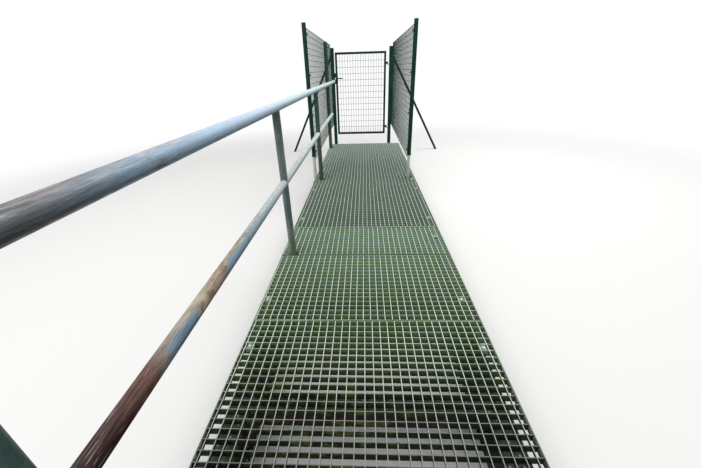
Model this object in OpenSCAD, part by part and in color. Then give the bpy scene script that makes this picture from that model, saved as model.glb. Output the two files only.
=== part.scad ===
// Steel footbridge with a grating deck, a tube handrail along its left side, wire mesh wing
// fences towards its far end and a framed mesh gate behind that end.
// Millimetres. X runs across the bridge, Y along it from the near end to the gate, Z is up.
// The origin lies on the level that the beams, gate posts and struts stand on, in the middle of
// the whole outline.

/* [Grating] */
// Length of one grating panel
panel_l = 1000; // [900:5:1100]
// Number of panels along the deck
panels = 5; // [5:1:6]
// Joint between two panels
panel_gap = 5; // [2:1:12]
// Width of the deck
deck_w = 1070; // [1050:5:1150]
// Depth of the bearing bars, which run across the deck
bar_h = 30; // [22:1:40]
// Thickness of the bearing bars and of the edge flats
bar_t = 3; // [2:0.5:6]
// Number of cells along one panel
cells = 29; // [24:1:34]
// Depth of the fill bars, which run along the deck, flush with its top
fill_h = 12; // [6:1:18]
// Thickness of the fill bars
fill_t = 3; // [2:0.5:5]
// Spacing of the fill bars in the first two panels
fill_pitch = 34.33; // [30:0.01:40]
// Spacing of the fill bars in the panels after those
late_fill_pitch = 33.3; // [30:0.01:40]
// Only one fill bar in this many is modelled
fill_step = 3; // [2:1:5]
// Gap sawn through the second panel at the post that stands in it
saw_gap = 5; // [2:1:15]
// Clearance around a post where it comes up through the deck
hole_gap = 8; // [4:1:14]
// Extra width of the hole at the right stub, on its outer side
stub_hole_out = 28; // [0:1:40]
// Extra length of the hole at the right stub, on its far side
stub_hole_far = 59; // [0:1:80]

/* [Beams] */
// Distance of a main beam's web from the line of the deck's side
beam_inset = 75; // [60:1:90]
// Depth of a main beam
beam_h = 160; // [140:5:220]
// Width of a main beam's flanges
beam_w = 82; // [70:1:110]
// Thickness of a main beam's web
web_t = 5; // [4:0.5:10]
// Thickness of a main beam's flanges
flange_t = 7.4; // [6:0.2:14]
// Radius between web and flange
root_r = 9; // [4:0.5:14]
// Distance from the near end to the near edge of the first crossbeam
first_cross = 36; // [2:1:60]
// Distance from the near edge of the tall post's crossbeam to the deck's far end
end_bay = 288.7; // [250:0.1:330]
// Leg length of the crossbeam angle
angle_leg = 65; // [50:1:66]
// Thickness of the crossbeam angle
angle_t = 7; // [5:0.5:10]
// How far an outrigger reaches out past the middle of the left wing post
outrigger_past = 30; // [24:1:60]
// Depth of an outrigger at its outer end
outrigger_end = 25; // [15:1:50]

/* [Handrail] */
// Distance of the handrail from the line of the deck's side
rail_inset = 70; // [60:1:75]
// Outside diameter of the top rail
top_rail_d = 48.3; // [40:0.1:54]
// Outside diameter of the mid rail
mid_rail_d = 42.4; // [26:0.1:46]
// Outside diameter of the rail posts
rail_post_d = 42.4; // [36:0.1:48]
// Wall of the handrail's tubes
rail_wall = 3; // [2:0.1:5]
// Height of the top rail's middle above the deck
top_rail_z = 885; // [800:5:1100]
// Height of the mid rail's middle above the deck
mid_rail_z = 475; // [380:5:560]
// Number of crossbeams from one rail post to the next
post_step = 3; // [3:1:3]
// Diameter of the tall post that ends the handrail
tall_post_d = 48.3; // [42:0.1:60]
// Height of the tall post above the deck
tall_post_z = 1380; // [1250:5:1500]
// How deep the top rail is let into the tall post
rail_bite = 5; // [4:0.5:10]

/* [Wing fences] */
// Distance of the left wing post from the line of the deck's side
left_wing_inset = 8; // [-5:1:9]
// Distance of the right wing post from the line of the deck's side
right_wing_inset = 78; // [65:1:81]
// Width of a wing post across the bridge
wing_post_w = 34; // [30:1:50]
// Width of a wing post along the bridge
wing_post_l = 40; // [34:1:70]
// Wall of a wing post
wing_wall = 3.5; // [3:0.5:6]
// Height above the deck at which a wing post starts on its stub
wing_foot_z = 250; // [180:5:300]
// Height of a wing post's top above the deck
wing_top_z = 1425; // [1300:5:1500]
// Length of stub inside a wing post
stub_lap = 100; // [60:5:200]
// Wall of the stubs
stub_wall = 3; // [2:0.5:5]
// Height of the wire mesh's lower edge above the deck
mesh_low_z = 233; // [150:1:300]
// Number of mesh cells from the lower edge to the upper one
mesh_rows = 23; // [20:1:26]
// Size of a mesh cell; every second wire of the wing fences is modelled
mesh_cell = 50; // [40:1:60]
// Diameter of a mesh wire
wire = 4; // [3:0.5:6]
// Depth by which crossing wires are melted into each other
weld = 0.5; // [0.2:0.1:1]
// Length of fence that overlaps the gate post
fence_lap = 10; // [6:1:12]

/* [Gate] */
// Distance from the deck's far end to the gate's middle plane
gate_gap = 380; // [330:5:480]
// Side of the gate's square posts
gate_post = 50; // [44:1:70]
// Wall of the gate posts
gate_wall = 3; // [2:0.5:6]
// Height of the gate posts above the deck
gate_post_z = 1340; // [1300:5:1450]
// Side of the leaf's square tubes
leaf_tube = 30; // [26:1:40]
// Wall of the leaf's tubes
leaf_wall = 2; // [1.5:0.5:4]
// Height of the leaf's lower edge above the deck
leaf_low_z = 85; // [60:5:150]
// Height of the leaf's upper edge above the deck
leaf_top_z = 1280; // [1200:5:1290]
// Clearance between the leaf and the lock side post
lock_gap = 14.5; // [10:0.5:20]
// Clearance between the leaf and the hinge side post
hinge_gap = 45; // [26:0.5:50]
// Number of mesh cells across the leaf
leaf_columns = 18; // [14:1:20]
// Number of mesh cells up the leaf
leaf_rows = 13; // [10:1:16]

/* [Struts] */
// Diameter of a strut
strut_d = 33.7; // [26:0.1:42]
// Wall of a strut
strut_wall = 2.6; // [2:0.1:5]
// Height above the deck at which a strut meets its gate post
strut_top_z = 1220; // [1100:5:1250]
// Distance of a strut's foot from the line of the deck's side
strut_out = 665; // [465:5:865]
// Clearance between a strut and the end of the wing mesh
strut_gap = 1; // [0.5:0.5:4]

/* [Hinges and lock] */
// Diameter of a hinge pin
pin_d = 10; // [8:0.5:12]
// Clearance between a hinge pin and its eye
pin_play = 0.3; // [0.2:0.05:0.6]
// Outside diameter of a hinge eye
eye_d = 18; // [16:0.5:20]
// Height of a hinge eye
eye_h = 30; // [20:1:45]
// Thickness of a hinge strap
strap_t = 6; // [4:0.5:8]
// Thickness of the lug under a hinge eye
lug_t = 8; // [6:0.5:12]
// Height of the upper hinge above the deck
upper_hinge_z = 1105; // [1000:5:1150]
// Height of the lower hinge above the deck
lower_hinge_z = 180; // [170:5:260]
// Height of the lock's middle above the deck
lock_z = 925; // [850:5:1000]
// Width of the lock's covers
lock_w = 34; // [30:1:38]
// Height of the lock's covers
lock_h = 150; // [120:5:200]
// Thickness of one lock cover
lock_t = 6; // [5:0.5:12]
// Diameter of the lever's spindle
spindle_d = 10; // [8:0.5:12]
// Clearance around the spindle
spindle_play = 0.4; // [0.3:0.1:1]
// Diameter of the lever's grip
grip_d = 14; // [10:0.5:18]
// Length of the lever's grip from the spindle
grip_l = 87; // [80:1:120]
// Distance of the grip from the lock's cover
grip_reach = 44; // [32:1:60]
// Thickness of the keeper
keeper_t = 3; // [2:0.5:5]
// Clearance between the keeper's stop and the lock's cover
stop_gap = 6; // [6:0.5:10]

/* [Hidden] */
$fn = 48;
// Cuts run this far past a face
over = 1;
// Margin between the last fill bar and the deck's edge
fill_margin = 8;
// Sideways place of the fill bars in each panel, from the first panel on
fill_shifts = [-5, -11.5, -17, -14, -14, -14];
// Panels before this one have the first fill bar spacing
late_panel = 2;
deck_l = panels * panel_l + (panels - 1) * panel_gap;
deck_top = beam_h + bar_h;
side_x = deck_w / 2;
beam_x = side_x - beam_inset;
bar_pitch = (panel_l - bar_t) / cells;
// Crossbeams and posts
wing_cross = 2 * post_step;
tall_cross = 3 * post_step;
cross_pitch = (deck_l - first_cross - end_bay) / tall_cross;
// Heights above the floor level
top_rail_h = deck_top + top_rail_z;
mid_rail_h = deck_top + mid_rail_z;
wing_foot = deck_top + wing_foot_z;
wing_top = deck_top + wing_top_z;
mesh_low = deck_top + mesh_low_z;
mesh_top = mesh_low + mesh_rows * mesh_cell;
leaf_low = deck_top + leaf_low_z;
leaf_top = deck_top + leaf_top_z;
lock_h0 = deck_top + lock_z;
gate_post_h = deck_top + gate_post_z;
strut_top = deck_top + strut_top_z;
// Places across the bridge
mesh_t = 2 * wire - weld;
rail_x = side_x - rail_inset;
left_wing_x = side_x - left_wing_inset;
right_wing_x = side_x - right_wing_inset;
strut_foot_x = side_x + strut_out;
tall_post_x = rail_x + (top_rail_d + tall_post_d) / 2 - rail_bite;
left_mesh_x = -(left_wing_x - wing_post_w / 2);
right_mesh_x = right_wing_x - wing_post_w / 2;
left_post_x = left_mesh_x + mesh_t + gate_post / 2;
right_post_x = right_mesh_x - mesh_t - gate_post / 2;
leaf_left = left_post_x + gate_post / 2 + lock_gap;
leaf_right = right_post_x - gate_post / 2 - hinge_gap;
// Section of the stubs, which fill the wing posts
stub_w = wing_post_w - 2 * wing_wall;
stub_l = wing_post_l - 2 * wing_wall;
// The lock and its lever
lock_x = leaf_left + leaf_tube / 2;
cover_y = leaf_tube / 2 + lock_t;
grip_y = cover_y + grip_reach;
neck_extra = 2;
neck_d = grip_d + neck_extra;
neck_gap = 1;
// Places along the bridge, from the deck's near end. The near faces of the posts are level with
// the near edges of the crossbeams that they stand at.
gate_s = deck_l + gate_gap;
overall_l = gate_s + grip_y + neck_d / 2;
near_y = -overall_l / 2;
gate_y = near_y + gate_s;
wing_y = cross_y(wing_cross) + stub_l / 2;
tall_y = cross_y(tall_cross) + tall_post_d / 2;
// The near faces of the gate posts are level with the keeper's lips
post_face_y = gate_y - cover_y - stop_gap - keeper_t;
post_mid_y = post_face_y + gate_post / 2;
fence_near = wing_y - wing_post_l / 2;
fence_far = post_face_y + fence_lap;
// The struts meet the gate posts just past the end of the wing mesh
strut_y = fence_far + strut_gap + strut_d / 2;
// The hinge axis, level with the straps on the leaf's far face
axis_x = leaf_right + hinge_gap / 2;
axis_y = gate_y + leaf_tube / 2 + strap_t / 2;

galvanised = [0.62, 0.65, 0.65];
weathered = [0.45, 0.52, 0.42];
rail_blue = [0.60, 0.66, 0.70];
fence_green = [0.08, 0.26, 0.20];
lock_grey = [0.16, 0.24, 0.22];

function cross_y(i) = near_y + first_cross + i * cross_pitch;
function post_y(i) = cross_y(i) + rail_post_d / 2;
function panel_near(i) = near_y + i * (panel_l + panel_gap);

// Small helpers

// A tube that stands on the height z0 and ends at z1
module upright_tube(d, wall, z0, z1) {
    translate([0, 0, z0])
        difference() {
            cylinder(d = d, h = z1 - z0);
            translate([0, 0, -over])
                cylinder(d = d - 2 * wall, h = z1 - z0 + 2 * over);
        }
}

// A round bar along Y from y0 to y1
module long_bar(d, y0, y1) {
    translate([0, y0, 0])
        rotate([-90, 0, 0])
            cylinder(d = d, h = y1 - y0);
}

// An upright box tube around the Z axis, closed at its top by a plate as thick as its wall
module capped_box_tube(w, l, wall, z0, z1) {
    difference() {
        translate([-w / 2, -l / 2, z0])
            cube([w, l, z1 - z0]);
        translate([-w / 2 + wall, -l / 2 + wall, z0 - over])
            cube([w - 2 * wall, l - 2 * wall, z1 - z0 - wall + over]);
    }
}

// Beams

// One side pocket of the I section, with rounded roots
module beam_pocket() {
    depth = (beam_w - web_t) / 2;
    height = beam_h - 2 * flange_t;
    translate([web_t / 2, flange_t]) {
        translate([root_r, 0])
            square([depth - root_r + over, height]);
        translate([0, root_r])
            square([depth + over, height - 2 * root_r]);
        for (y = [root_r, height - root_r])
            translate([root_r, y])
                circle(r = root_r);
    }
}

module main_beam(x) {
    color(galvanised)
        translate([x, near_y + deck_l, 0])
            rotate([90, 0, 0])
                linear_extrude(deck_l)
                    difference() {
                        translate([-beam_w / 2, 0])
                            square([beam_w, beam_h]);
                        beam_pocket();
                        mirror([1, 0])
                            beam_pocket();
                    }
}

// The upright leg of an angle that reaches from -x to x, cut back by cope under each flange and
// sniped at the beam's rounded root
module coped_leg(x, cope) {
    under = beam_h - flange_t;
    rotate([90, 0, 0])
        linear_extrude(angle_t)
            polygon([
                [-x, beam_h - angle_leg], [x, beam_h - angle_leg],
                [x, under - root_r], [x - root_r, under], [x - cope, under],
                [x - cope, beam_h], [-x + cope, beam_h],
                [-x + cope, under], [-x + root_r, under], [-x, under - root_r]
            ]);
}

// An angle across the bridge, its upright leg at the near edge, welded in between the main beams
module crossbeam() {
    clear = beam_x - web_t / 2;
    cope = (beam_w - web_t) / 2;
    translate([0, angle_t, 0])
        coped_leg(clear, cope);
    translate([-clear + cope, 0, beam_h - angle_t])
        cube([2 * (clear - cope), angle_leg, angle_t]);
}

module crossbeams() {
    color(galvanised) {
        for (i = [0:tall_cross])
            translate([0, cross_y(i), 0])
                crossbeam();
        translate([0, near_y + deck_l - angle_leg, 0])
            crossbeam();
    }
}

// A short angle that carries a post outside the left beam, sloped on its underside, its upright
// leg in line with the crossbeam's at y
module outrigger(y) {
    root = -beam_x - web_t / 2;
    edge = -beam_x - beam_w / 2;
    tip = -left_wing_x - outrigger_past;
    under = beam_h - flange_t;
    color(galvanised)
        translate([0, y, 0]) {
            translate([0, angle_t, 0])
                rotate([90, 0, 0])
                    linear_extrude(angle_t)
                        polygon([
                            [root, beam_h - angle_leg], [root, under - root_r],
                            [root - root_r, under], [edge, under], [edge, beam_h],
                            [tip, beam_h], [tip, beam_h - outrigger_end],
                            [edge, beam_h - angle_leg]
                        ]);
            translate([tip, 0, beam_h - angle_t])
                cube([edge - tip, angle_leg, angle_t]);
        }
}

// Grating

// A square cut through the deck around a post at x and y that is w wide and l long
module post_hole(x, y, w, l) {
    translate([x - w / 2 - hole_gap, y - l / 2 - hole_gap, beam_h - over])
        cube([w + 2 * hole_gap, l + 2 * hole_gap, bar_h + 2 * over]);
}

// A notch from the left edge around a post at x and y
module edge_notch(x, y, w, l) {
    translate([-side_x - over, y - l / 2 - hole_gap, beam_h - over])
        cube([side_x + over + x + w / 2 + hole_gap, l + 2 * hole_gap, bar_h + 2 * over]);
}

// Holes for two rail posts and the right stub, a notch for the last rail post and the left stub
// beside it, and one for the tall post
module post_holes() {
    notch_l = max(stub_l, rail_post_d);
    for (i = [0, post_step])
        post_hole(-rail_x, post_y(i), rail_post_d, rail_post_d);
    edge_notch(-rail_x, cross_y(wing_cross) + notch_l / 2, rail_post_d, notch_l);
    edge_notch(-tall_post_x, tall_y, tall_post_d, tall_post_d);
    post_hole(right_wing_x + stub_hole_out / 2, wing_y + stub_hole_far / 2,
              stub_w + stub_hole_out, stub_l + stub_hole_far);
}

// The bars of a panel that starts at near, kept between y0 and y1
module grating(near, y0, y1, pitch, shift) {
    reach = side_x - fill_margin;
    first = ceil((-reach - shift) / (pitch * fill_step));
    last = floor((reach - shift) / (pitch * fill_step));
    color(weathered)
        difference() {
            union() {
                for (i = [0:cells])
                    if (near + i * bar_pitch >= y0 && near + i * bar_pitch + bar_t <= y1)
                        translate([-side_x, near + i * bar_pitch, beam_h])
                            cube([deck_w, bar_t, bar_h]);
                for (x = [-side_x, side_x - bar_t])
                    translate([x, y0, beam_h])
                        cube([bar_t, y1 - y0, bar_h]);
                for (i = [first:last])
                    translate([shift + i * pitch * fill_step - fill_t / 2, y0, deck_top - fill_h])
                        cube([fill_t, y1 - y0, fill_h]);
            }
            post_holes();
        }
}

module whole_panel(i) {
    near = panel_near(i);
    pitch = i < late_panel ? fill_pitch : late_fill_pitch;
    grating(near, near, near + panel_l, pitch, fill_shifts[i]);
}

// The second panel is sawn through over the crossbeam of the post that stands in it
module sawn_panel_near() {
    near = panel_near(1);
    grating(near, near, cross_y(post_step) - saw_gap / 2, fill_pitch, fill_shifts[1]);
}

module sawn_panel_far() {
    near = panel_near(1);
    grating(near, cross_y(post_step) + saw_gap / 2, near + panel_l, fill_pitch, fill_shifts[1]);
}

// Handrail

module rail_post(i) {
    color(galvanised)
        difference() {
            translate([-rail_x, post_y(i), 0])
                upright_tube(rail_post_d, rail_wall, beam_h, top_rail_h);
            translate([-rail_x, 0, top_rail_h])
                long_bar(top_rail_d, post_y(i) - rail_post_d, post_y(i) + rail_post_d);
        }
}

// The tall post has a closed top and a seat cut for each rail that passes it
module tall_post() {
    top = deck_top + tall_post_z;
    color(galvanised)
        difference() {
            translate([-tall_post_x, tall_y, beam_h])
                cylinder(d = tall_post_d, h = top - beam_h);
            translate([-tall_post_x, tall_y, beam_h - over])
                cylinder(d = tall_post_d - 2 * rail_wall, h = top - beam_h - rail_wall + over);
            translate([-rail_x, 0, top_rail_h])
                long_bar(top_rail_d, tall_y - tall_post_d, tall_y + tall_post_d);
            translate([-rail_x, 0, mid_rail_h])
                long_bar(mid_rail_d, tall_y - tall_post_d, tall_y + tall_post_d);
        }
}

// The top rail is closed at its near end and butts against the gate post
module top_rail() {
    color(rail_blue)
        translate([-rail_x, 0, top_rail_h])
            difference() {
                long_bar(top_rail_d, near_y, post_face_y);
                long_bar(top_rail_d - 2 * rail_wall, near_y + rail_wall, post_face_y + over);
            }
}

// A length of mid rail from y0 to y1, its ends cut to fit around the posts
module mid_rail(y0, y1) {
    color(rail_blue)
        difference() {
            translate([-rail_x, 0, mid_rail_h])
                difference() {
                    long_bar(mid_rail_d, y0, y1);
                    long_bar(mid_rail_d - 2 * rail_wall, y0 - over, y1 + over);
                }
            for (i = [0:post_step:wing_cross])
                translate([-rail_x, post_y(i), mid_rail_h - mid_rail_d])
                    cylinder(d = rail_post_d, h = 2 * mid_rail_d);
        }
}

// Wing fences

module stub(x) {
    color(galvanised)
        translate([x, wing_y, 0])
            difference() {
                translate([-stub_w / 2, -stub_l / 2, beam_h])
                    cube([stub_w, stub_l, wing_foot + stub_lap - beam_h]);
                translate([-stub_w / 2 + stub_wall, -stub_l / 2 + stub_wall, beam_h - over])
                    cube([stub_w - 2 * stub_wall, stub_l - 2 * stub_wall,
                          wing_foot + stub_lap - beam_h + 2 * over]);
            }
}

module wing_post(x) {
    color(fence_green)
        translate([x, wing_y, 0])
            capped_box_tube(wing_post_w, wing_post_l, wing_wall, wing_foot, wing_top);
}

// A wire mesh sheet on the inner side of the plane x = face; inward is 1 towards +X and -1
// towards -X. Level wires lie against the plane, upright ones on top of them.
module wing_mesh(face, inward, y0, y1) {
    step = 2 * mesh_cell;
    spans = floor((y1 - y0 - wire) / step);
    level_x = inward > 0 ? face : face - wire;
    upright_x = inward > 0 ? face + wire - weld : face - 2 * wire + weld;
    color(fence_green) {
        for (i = [0:spans])
            translate([upright_x, y1 - wire - i * step, mesh_low])
                cube([wire, wire, mesh_top - mesh_low]);
        for (z = [mesh_low:step:mesh_top - wire])
            translate([level_x, y0, z])
                cube([wire, y1 - y0, wire]);
        translate([level_x, y0, mesh_top - wire])
            cube([wire, y1 - y0, wire]);
    }
}

// The left mesh stops on both sides of the tall post
module left_mesh_part(y0, y1) {
    color(fence_green)
        difference() {
            wing_mesh(left_mesh_x, 1, y0, y1);
            translate([-tall_post_x, tall_y, beam_h])
                cylinder(d = tall_post_d, h = wing_top);
        }
}

// Gate posts and struts

module gate_post_tube(x) {
    color(fence_green)
        translate([x, post_mid_y, 0])
            capped_box_tube(gate_post, gate_post, gate_wall, 0, gate_post_h);
}

// A tube from the outer face of a gate post down and out to the ground; side is -1 or 1
module strut(side, face) {
    run = strut_foot_x - face;
    slope = atan(run / strut_top);
    length = sqrt(run * run + strut_top * strut_top) + 2 * strut_d;
    color(fence_green)
        difference() {
            translate([side * strut_foot_x, strut_y, 0])
                rotate([0, -side * slope, 0])
                    difference() {
                        translate([0, 0, -strut_d])
                            cylinder(d = strut_d, h = length);
                        translate([0, 0, -strut_d - over])
                            cylinder(d = strut_d - 2 * strut_wall, h = length + 2 * over);
                    }
            translate([-2 * strut_foot_x, strut_y - strut_d, -2 * strut_d])
                cube([4 * strut_foot_x, 2 * strut_d, 2 * strut_d]);
            translate([side > 0 ? 0 : -face, strut_y - strut_d, strut_top / 2])
                cube([face, 2 * strut_d, strut_top]);
        }
}

// A lug on the hinge side post with an upright pin
module hinge_pin(z) {
    color(lock_grey) {
        translate([axis_x, axis_y, z - lug_t])
            cylinder(d = eye_d, h = lug_t);
        translate([axis_x, axis_y - eye_d, z - lug_t])
            cube([hinge_gap / 2, eye_d * 1.5, lug_t]);
        translate([axis_x, axis_y, z - lug_t])
            cylinder(d = pin_d, h = lug_t + eye_h + pin_d / 2);
    }
}

// An angle on the lock side post, with two lips in front of the leaf as its stop. The lever's
// neck passes between them.
module gate_keeper() {
    face = left_post_x + gate_post / 2;
    lip_w = lock_gap + leaf_tube / 3;
    lip_h = (lock_h - neck_d) / 2 - stop_gap;
    color(lock_grey)
        translate([face, post_face_y, lock_h0 - lock_h / 2]) {
            cube([keeper_t, gate_y - post_face_y, lock_h]);
            for (z = [0, lock_h - lip_h])
                translate([0, 0, z])
                    cube([lip_w, keeper_t, lip_h]);
        }
}

// Gate leaf

// A leaf tube between two heights, open at both ends
module stile(x) {
    translate([x, gate_y - leaf_tube / 2, leaf_low])
        difference() {
            cube([leaf_tube, leaf_tube, leaf_top - leaf_low]);
            translate([leaf_wall, leaf_wall, -over])
                cube([leaf_tube - 2 * leaf_wall, leaf_tube - 2 * leaf_wall,
                      leaf_top - leaf_low + 2 * over]);
        }
}

module leaf_hinge_stile() {
    color(fence_green)
        stile(leaf_right - leaf_tube);
}

// The lock stile has a hole for the lever's spindle
module leaf_lock_stile() {
    color(fence_green)
        difference() {
            stile(leaf_left);
            translate([lock_x, 0, lock_h0])
                long_bar(spindle_d + 2 * spindle_play, gate_y - leaf_tube, gate_y + leaf_tube);
        }
}

module leaf_bar(z) {
    inside = leaf_right - leaf_left - 2 * leaf_tube;
    color(fence_green)
        translate([leaf_left + leaf_tube, gate_y - leaf_tube / 2, z])
            difference() {
                cube([inside, leaf_tube, leaf_tube]);
                translate([-over, leaf_wall, leaf_wall])
                    cube([inside + 2 * over, leaf_tube - 2 * leaf_wall,
                          leaf_tube - 2 * leaf_wall]);
            }
}

// Wires across the leaf's frame, the level ones in front of the upright ones
module leaf_mesh() {
    x0 = leaf_left + leaf_tube;
    z0 = leaf_low + leaf_tube;
    width = leaf_right - leaf_tube - x0;
    height = leaf_top - leaf_tube - z0;
    color(fence_green) {
        for (i = [1:leaf_columns - 1])
            translate([x0 + i * width / leaf_columns - wire / 2, gate_y - weld / 2, z0])
                cube([wire, wire, height]);
        for (i = [1:leaf_rows - 1])
            translate([x0, gate_y - wire + weld / 2, z0 + i * height / leaf_rows - wire / 2])
                cube([width, wire, wire]);
    }
}

// A strap on the leaf's far face with an eye that turns on the pin
module hinge_strap(z) {
    color(lock_grey)
        difference() {
            union() {
                translate([axis_x, axis_y, z + neck_gap])
                    cylinder(d = eye_d, h = eye_h);
                translate([leaf_right - leaf_tube, axis_y - strap_t / 2, z + neck_gap])
                    cube([axis_x - leaf_right + leaf_tube, strap_t, eye_h]);
            }
            translate([axis_x, axis_y, z])
                cylinder(d = pin_d + 2 * pin_play, h = eye_h + 2 * neck_gap);
        }
}

// One cover on each face of the lock stile, with round ends and a bore for the spindle
module lock_covers() {
    straight = lock_h - lock_w;
    color(lock_grey)
        difference() {
            for (y = [gate_y - cover_y, gate_y + leaf_tube / 2])
                translate([lock_x, y, lock_h0]) {
                    for (z = [-straight / 2, straight / 2])
                        translate([0, 0, z])
                            long_bar(lock_w, 0, lock_t);
                    translate([-lock_w / 2, 0, -straight / 2])
                        cube([lock_w, lock_t, straight]);
                }
            translate([lock_x, 0, lock_h0])
                long_bar(spindle_d + 2 * spindle_play, gate_y - 2 * cover_y, gate_y + 2 * cover_y);
        }
}

// A spindle through the stile with a neck and a level grip on each side of the leaf
module lock_lever() {
    color(lock_grey)
        translate([lock_x, gate_y, lock_h0]) {
            long_bar(spindle_d, -grip_y, grip_y);
            long_bar(neck_d, -grip_y, -cover_y - neck_gap);
            long_bar(neck_d, cover_y + neck_gap, grip_y);
            for (y = [-grip_y, grip_y])
                translate([0, y, 0]) {
                    rotate([0, 90, 0])
                        cylinder(d = grip_d, h = grip_l);
                    translate([grip_l, 0, 0])
                        sphere(d = grip_d);
                    sphere(d = neck_d);
                }
        }
}

main_beam(-beam_x);  // main_beam_left
main_beam(beam_x);  // main_beam_right
crossbeams();
outrigger(cross_y(wing_cross));  // outrigger_wing
outrigger(cross_y(tall_cross));  // outrigger_tall_post
whole_panel(0);  // grating_1
sawn_panel_near();  // grating_2_near
sawn_panel_far();  // grating_2_far
whole_panel(2);  // grating_3
whole_panel(3);  // grating_4
whole_panel(4);  // grating_5
rail_post(0);  // rail_post_near
rail_post(post_step);  // rail_post_middle
rail_post(wing_cross);  // rail_post_far
tall_post();
top_rail();
mid_rail(post_y(0), post_y(post_step));  // mid_rail_near
mid_rail(post_y(post_step), post_y(wing_cross));  // mid_rail_middle
mid_rail(post_y(wing_cross), tall_y + tall_post_d / 2);  // mid_rail_far
stub(-left_wing_x);  // stub_left
stub(right_wing_x);  // stub_right
wing_post(-left_wing_x);  // wing_post_left
wing_post(right_wing_x);  // wing_post_right
wing_mesh(right_mesh_x, -1, fence_near, fence_far);  // wing_mesh_right
left_mesh_part(fence_near, tall_y);  // wing_mesh_left
left_mesh_part(tall_y, fence_far);  // wing_mesh_left_end
gate_post_tube(left_post_x);  // gate_post_left
gate_post_tube(right_post_x);  // gate_post_right
strut(-1, gate_post / 2 - left_post_x);  // strut_left
strut(1, gate_post / 2 + right_post_x);  // strut_right
hinge_pin(deck_top + upper_hinge_z);  // hinge_pin_upper
hinge_pin(deck_top + lower_hinge_z);  // hinge_pin_lower
gate_keeper();
leaf_hinge_stile();
leaf_lock_stile();
leaf_bar(leaf_top - leaf_tube);  // leaf_top_bar
leaf_bar(leaf_low);  // leaf_bottom_bar
leaf_mesh();
hinge_strap(deck_top + upper_hinge_z);  // hinge_strap_upper
hinge_strap(deck_top + lower_hinge_z);  // hinge_strap_lower
lock_covers();
lock_lever();
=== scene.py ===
"""Dresses a steel footbridge: grating deck, tube handrail, wing fences and mesh gate."""

from __future__ import annotations

import logging
import math
from collections.abc import Callable, Mapping, Sequence
from dataclasses import dataclass
from enum import Enum, IntEnum
from functools import cached_property

import bmesh
import bpy
from bmesh.types import BMEdge, BMFace
from bpy.types import Material, Node, NodeSocket, NodeTree, Object, World
from mathutils import Matrix, Vector

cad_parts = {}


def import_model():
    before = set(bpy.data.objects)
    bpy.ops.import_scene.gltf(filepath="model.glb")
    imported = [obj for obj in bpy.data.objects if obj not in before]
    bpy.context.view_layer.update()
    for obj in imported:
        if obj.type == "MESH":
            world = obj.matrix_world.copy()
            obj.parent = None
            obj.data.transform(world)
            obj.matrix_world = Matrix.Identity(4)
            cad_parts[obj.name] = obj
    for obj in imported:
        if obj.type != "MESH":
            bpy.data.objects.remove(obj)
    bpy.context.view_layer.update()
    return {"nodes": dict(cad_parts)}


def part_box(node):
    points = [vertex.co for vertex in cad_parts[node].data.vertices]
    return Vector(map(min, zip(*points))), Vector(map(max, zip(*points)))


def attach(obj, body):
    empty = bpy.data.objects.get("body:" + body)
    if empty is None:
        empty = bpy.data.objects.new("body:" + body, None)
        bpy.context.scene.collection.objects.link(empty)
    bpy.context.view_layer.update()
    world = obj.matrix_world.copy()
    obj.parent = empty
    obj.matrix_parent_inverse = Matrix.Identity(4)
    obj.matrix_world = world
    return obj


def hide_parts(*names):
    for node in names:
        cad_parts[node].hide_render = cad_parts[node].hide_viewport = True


LOG = logging.getLogger("footbridge")
Point = tuple[float, float, float]
Colour = tuple[float, float, float]
Stops = tuple[tuple[float, Colour], ...]
Test = Callable[[BMEdge | BMFace], bool]
Sockets = Mapping[str, NodeSocket]
EVEN = (1.0, 1.0, 1.0)
WHITE = (1.0, 1.0, 1.0)

# From this share on, an edge or a normal counts as along an axis
ALIGNED = 0.9
# Within these distances, a point counts as at a place
CLOSE = 0.001
HAIR = 1e-4
# Angles in radians: faces are shaded as one below the first, and edges bevelled above the second
SMOOTH_BELOW = math.radians(35.0)
SHARP_ABOVE = 0.7
# The nodes of a tree lie in columns of this many, this far apart across and down
NODE_ROWS = 4
NODE_ACROSS, NODE_DOWN = 180, -220


class Axis(IntEnum):
    """The frame's axes, by the number of their coordinate."""

    X = 0
    Y = 1
    Z = 2


class Body(Enum):
    """The bodies of the frame, which pieces ride on."""

    BRIDGE = "bridge"
    GATE_LEAF = "gate_leaf"
    LEVER = "lever"


class Slot(Enum):
    """The record's material slots."""

    BEAM_STEEL = "beam_steel"
    GRATING = "grating"
    POST_ZINC = "post_zinc"
    RAIL_PAINT = "rail_paint"
    GREEN_COAT = "green_coat"
    GREEN_WIRE = "green_wire"
    LOCK_METAL = "lock_metal"


class Element(Enum):
    """What an operator of edit mode works on."""

    EDGE = "EDGE"
    FACE = "FACE"


# Modelling by hand


def clear_selection() -> None:
    """Leaves edit mode and deselects every object."""
    if bpy.context.mode != "OBJECT":
        bpy.ops.object.mode_set(mode="OBJECT")
    bpy.ops.object.select_all(action="DESELECT")


def activate(piece: Object) -> None:
    """Makes one object the only selected and active one.

    Args:
        piece: The object to work on.
    """
    clear_selection()
    piece.select_set(True)
    bpy.context.view_layer.objects.active = piece


def settle(name: str) -> Object:
    """Names the new primitive and moves its place, turn and size into its mesh.

    Args:
        name: The piece's name.

    Returns:
        The piece, with its object at the origin.
    """
    piece = bpy.context.view_layer.objects.active
    piece.name = name
    piece.data.name = name
    bpy.ops.object.transform_apply(location=True, rotation=True, scale=True)
    return piece


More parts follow.
